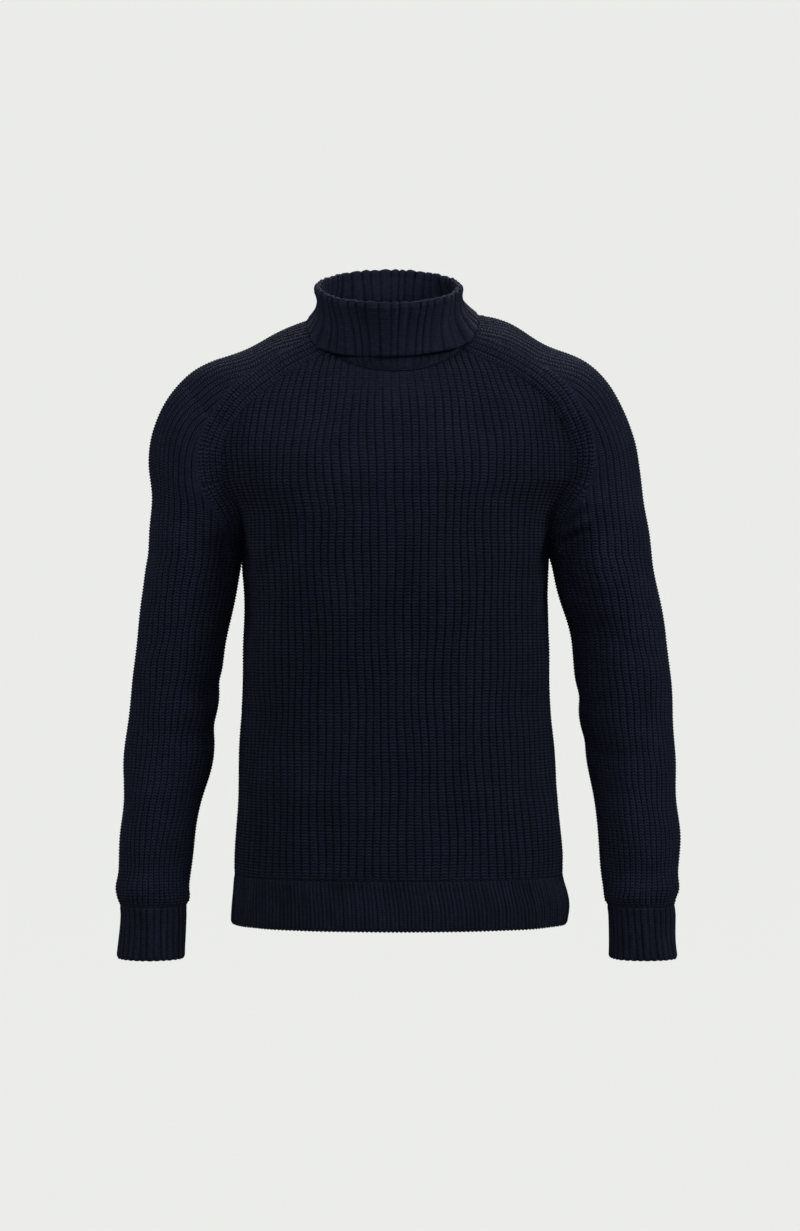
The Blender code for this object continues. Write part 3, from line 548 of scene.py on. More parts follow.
def addRims(shell, edge, own, meets, ribs, rows):
    inner = cutDown(edge["out"], edge[own], edge[meets]) + edge["lifts"]
    outer = edge["out"] + edge["lifts"] + edge["crest"]
    return [shell.add(line, ribs, rows, 0.0, edge[own]) for line in (outer, inner)]


def joinLayers(shell, layers, rims):
    # each layer to its rim, rim to rim, and the lower edges
    for (index, kept), rim in zip(layers, rims):
        shell.zip(stepTops(index, kept), rim)
    shell.zip(*rims)
    shell.zip(*(index[:, 0] for index, _ in layers))


# The front and the back

bodyKnit = {
    "ribs": 54,                    # across the front, and across the back
    "perRib": (0.0, 0.13, 0.36, 0.64, 0.87),    # where a rib has its lines of points
    "row": 0.0033,                 # one row of stitches
    "seamSteps": 150,
    "neckSteps": 84,
    "fadeIn": (0.0002, 0.0024),    # the ribs rise between these distances from a seam
    "hemFade": 0.45,               # how much of their height they keep at the hem
    "lean": 0.18,                  # how far ribs keep upright where the body widens to the seams
    "leanIn": (-0.25, -0.14),      # heights between which that starts
    "leanOut": (-0.13, -0.03),     # and goes again
    "leanBack": 0.75,
    "sway": 0.0046,                # how far ribs wander sideways, as a share of half the width
    "slump": {"size": 0.085, "depth": 0.0012},
    "seeds": {"front": 3, "back": 4},
    "quiet": {                     # places beside the arms where the cloth is drawn flat
        "front": ({"side": -1, "u": (0.66, 0.84), "z": (-0.46, -0.33, -0.20, -0.17), "share": 0.85},
                  {"side": 1, "u": (0.80, 0.94), "z": (-0.44, -0.34, -0.22, -0.19), "share": 0.5}),
        "back": (),
    },
    "underCollar": {"u": (0.12, 0.34), "z": (-0.088, -0.062), "share": 0.6},
}


def quietAt(face, u, z):
    total = np.ones(np.broadcast(u, z).shape)
    for zone in bodyKnit["quiet"][face]:
        low, lowFull, highFull, high = zone["z"]
        beside = smooth(*zone["u"], u * zone["side"])
        total -= beside * smooth(low, lowFull, z) * (1 - smooth(highFull, high, z)) * zone["share"]
    if face == "front":
        zone = bodyKnit["underCollar"]
        total -= (1 - smooth(*zone["u"], np.abs(u))) * smooth(*zone["z"], z) * zone["share"]
    return total


def bodyTopEdge(face):
    # from the left underarm along the neck to the right underarm
    left, right = (seamFrames(side, face, bodyKnit["seamSteps"]) for side in ("left", "right"))
    steps = bodyKnit["neckSteps"]
    u, z = np.array([neckPlace(face, -1 + 2 * i / steps) for i in range(1, steps)]).T
    points = bodyPoint(face, u, z)
    neck = {"u": u, "z": z, "place": points, "bodyNormal": bodyNormal(face, u, z),
            "sleeveNormal": neckOut(points), "lifts": 0 * points, "crest": 0 * points}
    edge = topEdge(left, neck, right)
    way = unit(np.cross(edge["bodyNormal"], unit(np.gradient(edge["place"], axis=0))))
    way = np.where((way @ np.array((0, 0, 1.0)))[:, None] > 0, -way, way)
    edge["out"] = edge["place"] + way * seamGap / 2
    return edge


def bodyPanel(face):
    knit = bodyKnit
    shell = Shell()
    edge = bodyTopEdge(face)
    u, z, edgeOut = edge["u"], edge["z"], edge["out"]
    order = np.argsort(u, kind="stable")
    sideShift = (-1 if face == "front" else 1) * seamGap / 2
    bottom = hemTop + seamGap / 2
    creaseLines = [(bodyPoint(face, *dense(path)), width, depth) for width, depth, path in creases[face]]

    def layer(shares, outer):
        step, offset, relief, margin = layerSizes(knit, outer)
        heights = bottom + np.arange(int((z.max() - bottom) / step) + 2) * step
        given, zz = np.meshgrid(shares, heights, indexing="ij")
        wander = (np.sin(zz * 23 + given * 7) + 0.7 * np.sin(zz * 51 - given * 13 + 2.0)
                  + 0.5 * np.sin(given * 31))
        uu = given + knit["sway"] * wander * (1 - np.abs(given) ** 6)
        upright = smooth(*knit["leanIn"], zz) - knit["leanBack"] * smooth(*knit["leanOut"], zz)
        uu = uu - knit["lean"] * given * np.abs(given) * upright
        top = np.interp(uu, u[order], z[order])
        places = bodyPoint(face, uu, zz)
        normals = bodyNormal(face, np.clip(uu, -0.999, 0.999), zz)
        atSide = np.abs(given) > 0.9999
        normals = np.where(atSide[..., None], unit(normals * (1, 0, 1)), normals)
        # the edge in three parts, so that each has few points near it
        gap = np.minimum.reduce([nearest(places, edgeOut[part], 0.012)[0]
                                 for part in (slice(0, 160), slice(140, 260), slice(240, None))])
        kept = np.maximum(lastFits((zz < top - margin * 0.6) & (gap > margin)), 1)
        sideGap = (1 - np.abs(uu)) * halfLength(face, zz)
        soft = creaseDepth(places, creaseLines) + slump(places, knit["seeds"][face], **knit["slump"])
        calm = smooth(0.0, 0.012, gap) * smooth(0.0, 0.010, sideGap) * smooth(0.0, 0.02, zz - bottom)
        lifted = seamLift(places, edgeOut, edge["lifts"])
        places = places + normals * (soft * calm + offset)[..., None] + lifted
        places[atSide, 1] += sideShift
        places[..., 0, 2] = bottom
        wobble = 0.10 * np.sin(zz * 61 + uu * 9) + 0.07 * np.sin(zz * 143 - uu * 17 + 1.3)
        atHem = knit["hemFade"] + (1 - knit["hemFade"]) * smooth(0.0, 0.008, zz - bottom)
        fade = relief * smooth(*knit["fadeIn"], gap) * atHem * quietAt(face, uu, zz)
        ribs, rows = (given + 1) / 2 * knit["ribs"], zz / knit["row"] + wobble
        index = shell.addKept(kept, places, ribs, rows, fade, normals)
        shell.quadGrid(index)
        return index, kept

    lines = np.append(ribLines(knit), knit["ribs"])
    layers = layer(lines / knit["ribs"] * 2 - 1, True), layer(np.linspace(-1, 1, knit["ribs"] + 1), False)
    rims = addRims(shell, edge, "bodyNormal", "sleeveNormal", (u + 1) / 2 * knit["ribs"], z / knit["row"])
    for line in shell.places[-2:]:
        line[[0, -1], 1] = sideShift
    joinLayers(shell, layers, rims)
    for end in (0, -1):
        ends = [np.append(index[end, :kept[end] + 1], rim[end]) for (index, kept), rim in zip(layers, rims)]
        shell.zip(*ends)
    return shell.mesh(face)


# The sleeves

sleeveKnit = {
    "ribs": 46,
    "perRib": (0.0, 0.13, 0.36, 0.64, 0.87),
    "row": 0.0033,
    "seamSteps": 150,
    "strapSteps": 42,
    "section": 0.02,        # step between the sections that ribs are laid out by
    "band": 4,              # ribs that run beside the raglan seam
    "bandRib": 0.0072,      # width of one of them
    "fadeIn": (0.0002, 0.0022),
    "cuffFade": 0.5,        # how much of their height the ribs keep at the cuff
    "sway": 0.016,          # how far ribs wander, in turn
    "slump": {"size": 0.085, "depth": 0.0014},
    "seeds": {"left": 7, "right": 8},
}


def sleeveLines(side):
    # per section: turns and lengths from the outer side, towards the front and the back
    sections = np.arange(0, len(sleeveForm["depth"]) - 1 + 1e-9, sleeveKnit["section"])
    middle, out, back, last = sleeveParts(side, sections)
    turns = last[:, None] * np.linspace(0, 1, 90)[None]
    lines = {"v": sections, "last": last}
    for sign in (-1, 1):
        points = (middle[:, None] + np.cos(turns)[..., None] * out[:, None]
                  + sign * np.sin(turns)[..., None] * back[:, None])
        lengths = lengthsAlong(points)
        ring = np.interp(np.maximum(sections, underarm), sections, lengths[:, -1])
        lines[sign] = {"turns": turns, "lengths": lengths, "reach": ring}
    lines["down"] = lengthsAlong(sleevePoint(side, 0 * sections, sections))
    return lines


def turnsFor(lines, share):
    # the turn of a rib's line in each section
    sign = -1 if share < 0 else 1
    part = lines[sign]
    along = abs(share) * part["reach"]
    found = np.array([np.interp(a, l, t) for a, l, t in zip(along, part["lengths"], part["turns"])])
    over = np.maximum(along - part["lengths"][:, -1], 0.0)
    pace = (part["lengths"][:, -1] - part["lengths"][:, -2]) / (part["turns"][:, -1] - part["turns"][:, -2])
    return sign * (found + over / pace)


def turnsAt(lines, shares, vs):
    # the turns of each share's line at its own v or row of v
    return np.array([np.interp(v, lines["v"], turnsFor(lines, share)) for share, v in zip(shares, vs)])


def shareOf(lines, turns, vs):
    rows = np.clip(np.round(vs / sleeveKnit["section"]).astype(int), 0, len(lines["v"]) - 1)
    found = []
    for turn, k in zip(turns, rows):
        part = lines[-1 if turn < 0 else 1]
        length = np.interp(abs(turn), part["turns"][k], part["lengths"][k])
        found.append(math.copysign(length / part["reach"][k], turn))
    return np.array(found)


def sleeveTopEdge(side, lines):
    # from the underarm up the front seam, over the shoulder and down the back seam
    front, back = (seamFrames(side, face, sleeveKnit["seamSteps"]) for face in ("front", "back"))
    steps = sleeveKnit["strapSteps"]
    turn = float(lines["last"][0]) * (-1 + 2 * np.arange(1, steps) / steps)
    place = sleevePoint(side, turn, 0 * turn)
    strap = {"turn": turn, "v": 0 * turn, "place": place, "lifts": 0 * place, "crest": 0 * place,
             "bodyNormal": neckOut(place), "sleeveNormal": sleeveNormal(side, turn, 0 * turn + vInset)}
    edge = {key: row[:-1] for key, row in topEdge(front, strap, back).items()}
    middle, out, _, _ = sleeveParts(side, float(underarm))
    edge["sleeveNormal"][0] = unit(-out)
    tangent = unit(np.roll(edge["place"], -1, axis=0) - np.roll(edge["place"], 1, axis=0))
    way = unit(np.cross(edge["sleeveNormal"], tangent))
    target = np.tile((-1.0 if side == "left" else 1.0, 0, 0.2), (len(way), 1))
    target[len(front["v"]):len(front["v"]) + steps - 1, 2] = -0.2
    way = np.where(np.sum(way * target, axis=-1, keepdims=True) > 0, way, -way)
    way[0] = unit(sleeveParts(side, underarm + 1.0)[0] - middle)
    edge["out"] = edge["place"] + way * seamGap / 2
    edge["share"] = shareOf(lines, edge["turn"], edge["v"])
    edge["share"][0] = -1.0
    return edge


def sleeveCreases(side, lines):
    made = []
    for width, depth, path in creases[side]:
        shares, vs = dense(path)
        if abs(path[0][0] - path[-1][0]) > 1.0:
            # a path past the inner side, where the share jumps from 1 to -1
            shares = np.interp(np.linspace(0, 1, len(vs)), np.linspace(0, 1, len(path)),
                               np.unwrap(np.array(path)[:, 0] * math.pi) / math.pi)
            shares = (shares + 1) % 2 - 1
        made.append((sleevePoint(side, turnsAt(lines, shares, vs), vs), width, depth))
    return made


def sleeveTube(side):
    knit = sleeveKnit
    shell = Shell()
    lines = sleeveLines(side)
    edge = sleeveTopEdge(side, lines)
    edgeOut, edgeShare = edge["out"], edge["share"]
    order = np.argsort(edgeShare, kind="stable")
    topShares = np.append(edgeShare[order], 1.0)
    topV = np.append(edge["v"][order], float(underarm))
    down = lines["down"]
    bottomV = float(lines["v"][-1])
    creaseLines = sleeveCreases(side, lines)
    seams = [seamPoint(side, face, np.linspace(0, underarm, 300)) for face in ("front", "back")]

    def layer(shares, outer):
        step, offset, relief, margin = layerSizes(knit, outer)
        vRows = np.interp(np.arange(down[-1], 0.0, -step), down, lines["v"])
        top = np.interp(shares, topShares, topV)
        turns = turnsAt(lines, shares, [vRows] * len(shares))
        vv = np.broadcast_to(vRows, turns.shape)
        round3, round5 = (shares[:, None] * math.pi * k for k in (3, 5))
        wander = np.sin(vv * 2.1 + round3) + 0.7 * np.sin(vv * 4.7 - round5 + 1.0)
        turns = turns + knit["sway"] * wander * smooth(underarm, underarm + 1.5, vv)
        places = sleevePoint(side, turns, vv)
        normals = sleeveNormal(side, turns, np.clip(vv, vInset, bottomV - vInset))
        edgeGap, _ = nearest(places, closed(edgeOut), 0.012)
        (frontGap, frontAlong), (backGap, backAlong) = (nearest(places, seam, 0.06) for seam in seams)
        useFront = frontGap < backGap
        gap, along = np.where(useFront, frontGap, backGap), np.where(useFront, frontAlong, backAlong)
        kept = lastFits((vv > top[:, None]) & (edgeGap > margin))
        bandWide = knit["band"] * knit["bandRib"]
        inBand = (gap < bandWide) & (vv < underarm + 0.3)
        downLength = np.interp(vv, lines["v"], down[-1] - down)
        ribs = (shares[:, None] + 1) / 2 * knit["ribs"] + 0 * vv
        rows = downLength / knit["row"] + 0.10 * np.sin(vv * 3.1 + ribs) + 0.06 * np.sin(vv * 7.3)
        ribs = np.where(inBand, gap / knit["bandRib"] + 100, ribs)
        rows = np.where(inBand, along / knit["row"], rows)
        soft = creaseDepth(places, creaseLines) + slump(places, knit["seeds"][side], **knit["slump"])
        calm = smooth(0.0, 0.010, edgeGap) * smooth(0.0, 0.012, downLength)
        lifted = seamLift(places, edgeOut, edge["lifts"])
        places = places + normals * (soft * calm + offset)[..., None] + lifted
        places[:, 0, 2] = sleeveForm[side]["outerZ"][-1] + seamGap / 2
        meetBand = np.where(vv < underarm + 0.5, smooth(0.0, 0.003, np.abs(gap - bandWide)), 1.0)
        atCuff = knit["cuffFade"] + (1 - knit["cuffFade"]) * smooth(0.0, 0.006, downLength)
        fade = relief * smooth(*knit["fadeIn"], edgeGap) * atCuff * meetBand
        index = closed(shell.addKept(kept, places, ribs, rows, fade, normals))
        shell.quadGrid(index)
        return index, closed(kept)

    layers = [layer(rib / knit["ribs"] * 2 - 1, outer)
              for rib, outer in ((ribLines(knit), True), (np.arange(knit["ribs"]), False))]
    edgeRows = (down[-1] - np.interp(edge["v"], lines["v"], down)) / knit["row"]
    rims = addRims(shell, edge, "sleeveNormal", "bodyNormal", (edgeShare + 1) / 2 * knit["ribs"], edgeRows)
    joinLayers(shell, layers, [closed(rim) for rim in rims])
    return shell.mesh("sleeve_" + side)


# Hem and cuffs

hemKnit = {
    "ribs": 216, "insideEvery": 2, "perRib": (0.0, 0.25, 0.5, 0.75), "row": 0.0030,
    "scallop": 0.0012,      # how far the lower edge rises in the grooves
    "slant": 0.45,          # how far ribs turn with each metre down
}
cuffKnit = {
    "ribs": 30, "insideEvery": 1, "perRib": (0.0, 0.12, 0.32, 0.5, 0.68, 0.88), "row": 0.0030,
    "scallop": 0.0008, "slant": 1.1,
    "length": 0.0585, "spread": 0.043, "waist": 0.03,
    "slope": {"left": (-0.045, -0.06), "right": (0.030, -0.06)},
}
bandEdge = {
    "slump": (11, 0.07, 0.0010),                    # seed, size and depth of slow unevenness
    "wander": 0.3, "roll": 0.0008,                  # of the ribs, and of the lower edge inwards
    "topFade": 0.6, "bottomFade": 0.35,             # how much of their height ribs keep there
}


def bandShell(name, section, top, bottom, knit):
    shell = Shell()

    def layer(phases, outside):
        step, offset, relief, _ = layerSizes(knit, outside)
        count = max(2, int(round((top - bottom) / step)))
        heights = np.linspace(bottom, top, count + 1)
        turns, zz = np.meshgrid(phases / knit["ribs"] * 2 * math.pi, heights, indexing="ij")
        wander = np.sin(9 * turns + 1.0) + 0.7 * np.sin(17 * turns - zz * 40)
        turns = turns + knit["slant"] * (top - zz) + bandEdge["wander"] / knit["ribs"] * wander
        places = section(turns, zz)
        around = section(turns + 0.01, zz) - section(turns - 0.01, zz)
        normals = unit(np.cross(around, (0, 0, 1.0)))
        phase = (phases % 1)[:, None] + 0 * zz
        atTop, atBottom = bandEdge["topFade"], bandEdge["bottomFade"]
        fade = (relief * (atTop + (1 - atTop) * smooth(0.0, 0.004, top - zz))
                * (atBottom + (1 - atBottom) * smooth(0, 0.003, zz - bottom)))
        soft = slump(places, *bandEdge["slump"]) * smooth(0, 0.012, top - zz)
        roll = -bandEdge["roll"] * (1 - smooth(0, 0.0035, zz - bottom)) * relief
        places = places + normals * (offset + soft + roll)[..., None]
        bow = (np.abs(phase - 0.5) * 2) ** 2 if relief else 1.0
        places[..., 2] += knit["scallop"] * bow * (1 - smooth(0, 0.006, zz - bottom))
        uneven = 0.8 + 0.2 * np.sin(np.floor(phases) * 2.4)[:, None]
        index = shell.add(places, phases[:, None] + 0 * zz, zz / knit["row"], fade * uneven, normals)
        index = closed(index.reshape(zz.shape))
        shell.quadGrid(index)
        return index

    outer = layer(ribLines(knit), True)
    inner = layer(np.arange(0, knit["ribs"], knit["insideEvery"]).astype(float), False)
    for end in (0, -1):
        shell.zip(outer[:, end], inner[:, end])
    return shell.mesh(name)


def hemSection(turn, z):
    quarter = np.asarray(turn) / (math.pi / 2) % 4
    front = quarter < 2
    u = np.where(front, quarter - 1, 3 - quarter)
    return np.where(front[..., None], bodyPoint("front", u, z), bodyPoint("back", u, z))


def cuffSection(side):
    last = float(len(sleeveForm["depth"]) - 1)
    middle, out, back, _ = sleeveParts(side, last)
    top = sleeveForm[side]["outerZ"][-1] - seamGap / 2
    slope = np.array(cuffKnit["slope"][side] + (0.0,))

    def section(turn, z):
        down = top - np.asarray(z, float)
        share = down / cuffKnit["length"]
        wider = 1.0 + cuffKnit["spread"] * share - cuffKnit["waist"] * np.sin(math.pi * share)
        angle = turn if side == "right" else math.pi - np.asarray(turn)
        around = out * np.cos(angle)[..., None] + back * np.sin(angle)[..., None]
        places = middle + around * wider[..., None] + slope * down[..., None]
        places[..., 2] = z
        return places

    return section, top, top - cuffKnit["length"]


# The collar, folded over

collarKnit = {
    "ribs": 44,
    "perRib": (0.0, 0.10, 0.26, 0.5, 0.74, 0.90),
    "middle": (-0.0084, -0.0075),           # what angles round the collar are taken about
    "fold": {"half": 0.0790, "depth": 0.0735, "z": 0.0435, "tilt": 0.0257},
    "layer": 0.0024, "apart": 0.0012,       # thickness of a layer, and the way between the two
    "row": 0.0030,
    "edge": {                               # the folded lower edge, by degrees from the front
        "angle": (-180, -155, -130, -118, -105, -92, -80, -70, -60, -48, -30, 0,
                  25, 45, 60, 70, 80, 90, 100, 112, 124, 145, 180),
        "out": (0.004, 0.004, 0.004, 0.004, 0.006, 0.009, 0.0105, 0.0105, 0.0080, 0.0050, 0.0022, 0.0016,
                0.0018, 0.0036, 0.0065, 0.0070, 0.0060, 0.0045, 0.004, 0.003, 0.004, 0.004, 0.004),
        "z": (0.0205, 0.0200, 0.0205, 0.0190, 0.0135, 0.0058, -0.0052, -0.0148, -0.0268, -0.0325, -0.0355,
              -0.0362, -0.0348, -0.0300, -0.0245, -0.0150, -0.0028, 0.0075, 0.0150, 0.0212, 0.0235, 0.0205,
              0.0205),
    },
    # levels near the lower edge, which is at 2, and how far the outside is cut back there
    "bevel": ((1.945, 0.0001), (1.96, 0.0003), (1.973, 0.0006), (1.984, 0.0010), (1.993, 0.0015),
              (2.0, 0.0021)),
    "rows": (26, 11, 40),  # of points up the stand, over the fold and down the outside
    "foldRise": 0.0046,    # of the seen fold over the fold line
    "standBow": 0.004,     # how far the stand bows inwards
    "foldBow": (0.003, 0.0045),    # and the outside: all round, and more of it at the sides
    "rimRise": 0.5,        # how much taller the ribs are on the fold
    "sway": 0.0016,        # of the lower edge, in and out
    "uneven": 1.1,         # how far ribs stray from even spacing
    "foot": 0.5,           # how far the stand's ribs rise under the folded edge
}


def neckLoop():
    def panel(face, low, high, steps):
        shares = np.linspace(low, high, steps)
        places = np.array([neckPlace(face, s) for s in shares])
        return bodyPoint(face, places[:, 0], places[:, 1])

    def strap(side):
        last = float(sleeveParts(side, 0.0)[3])
        turns = last * np.linspace(-1, 1, 43)[1:-1]
        return sleevePoint(side, turns, 0 * turns)

    return np.concatenate((panel("front", 0, 1, 43), strap("right"), panel("back", 1, -1, 85),
                           strap("left")[::-1], panel("front", -1, 0, 43)[:-1]))


def collarRings(loop, phases, profile):
    # places for each phase and row of the profile, and the way out.
    # A row is a level (0 neckline, 1 fold, 2 lower edge), a shift out and a lift
    knit, fold = collarKnit, collarKnit["fold"]
    angles = np.unwrap(np.arctan2(loop[:, 0] - knit["middle"][0], knit["middle"][1] - loop[:, 1]))
    turn = phases / knit["ribs"] * 2 * math.pi
    uneven = np.sin(5 * turn + 1.0) + 0.8 * np.sin(13 * turn + 2.2)
    angle = (turn + knit["uneven"] / knit["ribs"] * uneven)[:, None]
    base = between(angle[:, 0], angles, loop, period=2 * math.pi)[:, None]
    level, shift, lift = (np.array(column)[None, :] for column in zip(*profile))
    radial = unit(np.concatenate((np.sin(angle) / fold["half"], -np.cos(angle) / fold["depth"],
                                  0 * angle), axis=-1))[:, None]
    foldLine = np.concatenate((knit["middle"][0] + fold["half"] * np.sin(angle),
                               knit["middle"][1] - fold["depth"] * np.cos(angle),
                               fold["z"] - fold["tilt"] * np.cos(angle)), axis=-1)[:, None]
    degrees = (np.degrees(angle[:, 0]) + 180) % 360 - 180
    fine, wide = np.linspace(-180, 180, 361), np.linspace(-187, 187, 375)
    edge = knit["edge"]
    ease = np.hanning(15) / np.hanning(15).sum()
    outRow, zRow = (np.convolve(np.interp(wide, edge["angle"], edge[key], period=360), ease, "valid")
                    for key in ("out", "z"))
    edgeLine = base + radial * np.interp(degrees, fine, outRow)[:, None, None]
    edgeLine[..., 2] = np.interp(degrees, fine, zRow)[:, None]
    up = np.clip(level, 0, 1)[..., None]
    down = np.clip(level - 1, 0, 1)[..., None]
    standBow = knit["standBow"] * np.sin(math.pi * up) * smooth(0.15, 0.5, up)
    allRound, sides = knit["foldBow"]
    foldBow = (allRound + sides * np.sin(angle) ** 2)[..., None] * np.sin(math.pi * down)
    standPlace = base + (foldLine - base) * up - radial * standBow
    foldPlace = foldLine + (edgeLine - foldLine) * down - radial * foldBow
    places = np.where(level[..., None] <= 1, standPlace, foldPlace)
    sway = knit["sway"] * down * (np.sin(3 * angle + 0.6) + 0.6 * np.sin(7 * angle + 2.0))[..., None]
    places = places + radial * (shift[..., None] + sway)
    places[..., 2] += lift
    return places, radial


def collarShell():
    knit = collarKnit
    shell = Shell()
    loop = neckLoop()
    near = knit["apart"] / 2
    far = near + knit["layer"]

    # the seen side: up the inside of the stand, over the fold, down the outside
    up, over, down = knit["rows"]
    seen = [(level, -far, 0.0) for level in np.linspace(0.10, 0.93, up)]
    for turn in np.linspace(0.0, math.pi, over):
        level = 1.0 + 0.05 * (turn / math.pi - 0.5)
        seen.append((level, -far * math.cos(turn), knit["foldRise"] * math.sin(turn)))
    seen += [(level, far, 0.0) for level in np.linspace(1.07, 1.93, down)]
    seen += [(level, far - cut, 0.0) for level, cut in knit["bevel"]]
    # between the layers, and down to the neck edge, which is seen under the folded edge
    under = [(level, near, 0.0) for level in (2.0, 1.75, 1.5, 1.2, 1.06)]
    hidden = under + [(1.0, 0.0, 0.0016)] + [(level, -near, 0.0) for level in (0.93, 0.7, 0.45)]
    stand = [(level, -near, 0.0) for level in np.linspace(0.40, 0.0, 22)]
    phases = ribLines(knit)

    def skin(phases, profile, inwards, relief):
        # a layer of the profile's rows, of which the first ones face inwards
        places, radial = collarRings(loop, phases, profile)
        sides = np.where(np.arange(len(profile)) < inwards, -1, 1)
        length = lengthsAlong(places)
        around = np.gradient(np.concatenate((places[-1:], places, places[:1])), axis=0)[1:-1]
        outward = unit(np.cross(around, np.gradient(places, axis=1)))
        turned = np.sum(outward * radial, axis=-1, keepdims=True) * sides[None, :, None] < 0
        outward = np.where(turned, -outward, outward)
        grid = 0 * length
        index = shell.add(places, phases[:, None] + grid, length / knit["row"], relief + grid, outward)
        index = closed(index.reshape(length.shape))
        shell.quadGrid(index)
        return index

    levels = np.array([row[0] for row in seen])
    rib = np.floor(phases)[:, None]
    perRib = 0.85 + 0.15 * np.sin(rib * 2.4) + 0.1 * np.sin(rib * 5.1)
    onFold = 1 + knit["rimRise"] * np.exp(-((levels - 1.0) / 0.05) ** 2)
    relief = perRib * onFold * smooth(0.10, 0.22, levels) * (0.4 + 0.6 * smooth(0.0, 0.03, 2.0 - levels))
    outer = skin(phases, seen, up + over // 2, relief)
    inner = skin(np.arange(knit["ribs"]).astype(float), hidden, len(under), 0.0)
    low = np.array([row[0] for row in stand])
    foot = skin(phases, stand, 0, knit["foot"] * smooth(0.0, 0.06, 0.40 - low) * smooth(0.0, 0.06, low))
    edge = loop + np.array((0, 0, seamGap / 2))
    out = neckOut(loop)
    rim, rimIn = (closed(shell.add(line, 0.0, 0.0, 0.0, out)) for line in (edge, edge - out * knit["layer"]))
    for first, second in ((outer[:, -1], inner[:, 0]), (inner[:, -1], foot[:, 0]), (foot[:, -1], rim),
                          (rim, rimIn), (rimIn, outer[:, 0])):
        shell.zip(first, second)
    return shell.mesh("collar")


# Node trees: one small class, so that sums on sockets read as sums

class Field:
    def __init__(self, tree, socket=None):
        self.tree, self.socket = tree, socket

    def node(self, kind, settings=None, inputs=None, output=0):
        node = self.tree.nodes.new(kind)
        for name, value in (settings or {}).items():
            if name == "stops":
                ramp = node.color_ramp
                while len(ramp.elements) < len(value):
                    ramp.elements.new(0.5)
                for element, (place, colour) in zip(ramp.elements, value):
                    element.position, element.color = place, colour
            else:
                setattr(node, name, value)
        for key, value in (inputs or {}).items():
            socket = node.inputs[key]
            if isinstance(value, Field):
                self.tree.links.new(value.socket, socket)
            else:
                socket.default_value = value
        return Field(self.tree, node.outputs[output])

    def maths(self, operation, *values):
        return self.node("ShaderNodeMath", {"operation": operation}, dict(enumerate(values)))

    def __add__(self, other):
        return self.maths("ADD", self, other)

    def __radd__(self, other):
        return self.maths("ADD", other, self)

    def __sub__(self, other):
        return self.maths("SUBTRACT", self, other)

    def __rsub__(self, other):
        return self.maths("SUBTRACT", other, self)

    def __mul__(self, other):
        return self.maths("MULTIPLY", self, other)

    def __rmul__(self, other):
        return self.maths("MULTIPLY", other, self)

    def __truediv__(self, other):
        return self.maths("DIVIDE", self, other)

    def __pow__(self, other):
        return self.maths("POWER", self, other)


# Wool. Ribs and rows come from the piece's own UV map, fibres from Object coordinates

# In each look three numbers set painted light: how dark the grooves between ribs are painted, how much
# lighter the stitch lobes are painted than the shade between rows (lift), and how dark the dip along a rib's
# middle is painted
# One navy yarn on every piece. The sleeve colour is set lighter than the body's as painted light, for the
# stronger light that falls on the sleeves; trim and collar are set lighter than the body too
woolLooks = {
    "body": {"colour": (0.0078, 0.0094, 0.0192), "stitch": 0.9, "vee": 0.22, "lift": 0.60, "grooveShade": 0.20,
             "narrow": 5.0, "splitDipAndShade": 0.12, "streak": 0.24},
    "sleeve": {"colour": (0.0106, 0.0128, 0.0260), "stitch": 1.0, "vee": 0.46, "lift": 0.60, "grooveShade": 0.28,
               "narrow": 4.0, "splitDipAndShade": 0.42, "streak": 0.16},
    "trim": {"colour": (0.0100, 0.0118, 0.0236), "stitch": 0.34, "vee": 0.30, "lift": 0.16, "grooveShade": 0.16,
             "narrow": 2.2, "splitDipAndShade": 0.06, "streak": 0.60},
    "collar": {"colour": (0.0108, 0.0127, 0.0258), "stitch": 0.26, "vee": 0.30, "lift": 0.12, "grooveShade": 0.36,
               "narrow": 3.5, "splitDipAndShade": 0.06, "streak": 0.44},
}
threadLook = {"colour": (0.0086, 0.0103, 0.0212)}
woolFinish = {
    "roughness": 0.92, "sheen": 0.010, "sheenRoughness": 0.5, "specular": 0.05, "bump": 0.8, "height": 0.0011,
    "patch": 0.36, "speckle": 1.1,
    "fibres": (1500.0, 3.0, 0.75), "patches": (24.0, 4.0, 0.65),    # scale, detail and roughness of noise
}
# Noise of yarn, loops and streaks: how often across a rib and in a row, its shift, detail and roughness
knitNoise = ((5.0, 2.1, 0.0, 2.0, 0.6), (1.6, 0.9, 3.0, 1.0, 0.5), (2.3, 0.05, 7.0, 2.0, 0.6))


def woolShader(name):
    material = bpy.data.materials.new(name)
    material.use_nodes = True
    shader = material.node_tree.nodes["Principled BSDF"]
    shader.inputs["Sheen Weight"].default_value = woolFinish["sheen"]
    shader.inputs["Sheen Roughness"].default_value = woolFinish["sheenRoughness"]
    shader.inputs["Specular IOR Level"].default_value = woolFinish["specular"]
    return material, shader, Field(material.node_tree)


def dress(shader, field, colour, tone, fibres, height):
    # what every wool takes from its own tone, fibres and height
    bump = field.node("ShaderNodeBump", None, {
        "Strength": woolFinish["bump"], "Distance": woolFinish["height"], "Height": height})
    shade = field.node("ShaderNodeVectorMath", {"operation": "SCALE"}, {0: colour, "Scale": tone})
    rough = woolFinish["roughness"] + 0.08 * (fibres - 0.5)
    for value, socket in ((shade, "Base Color"), (rough, "Roughness"), (bump, "Normal")):
        field.tree.links.new(value.socket, shader.inputs[socket])


def threadMaterial(name, look):
    material, shader, field = woolShader(name)
    place = field.node("ShaderNodeTexCoord", None, None, 3)
    fibres = field.node("ShaderNodeTexNoise", None, {"Vector": place, "Scale": 1500.0, "Detail": 3.0})
    patches = field.node("ShaderNodeTexNoise", None, {"Vector": place, "Scale": 160.0, "Detail": 2.0})
    dress(shader, field, look["colour"], (0.5 + fibres) * (0.6 + 0.8 * patches), fibres, fibres * 0.4)
    return material


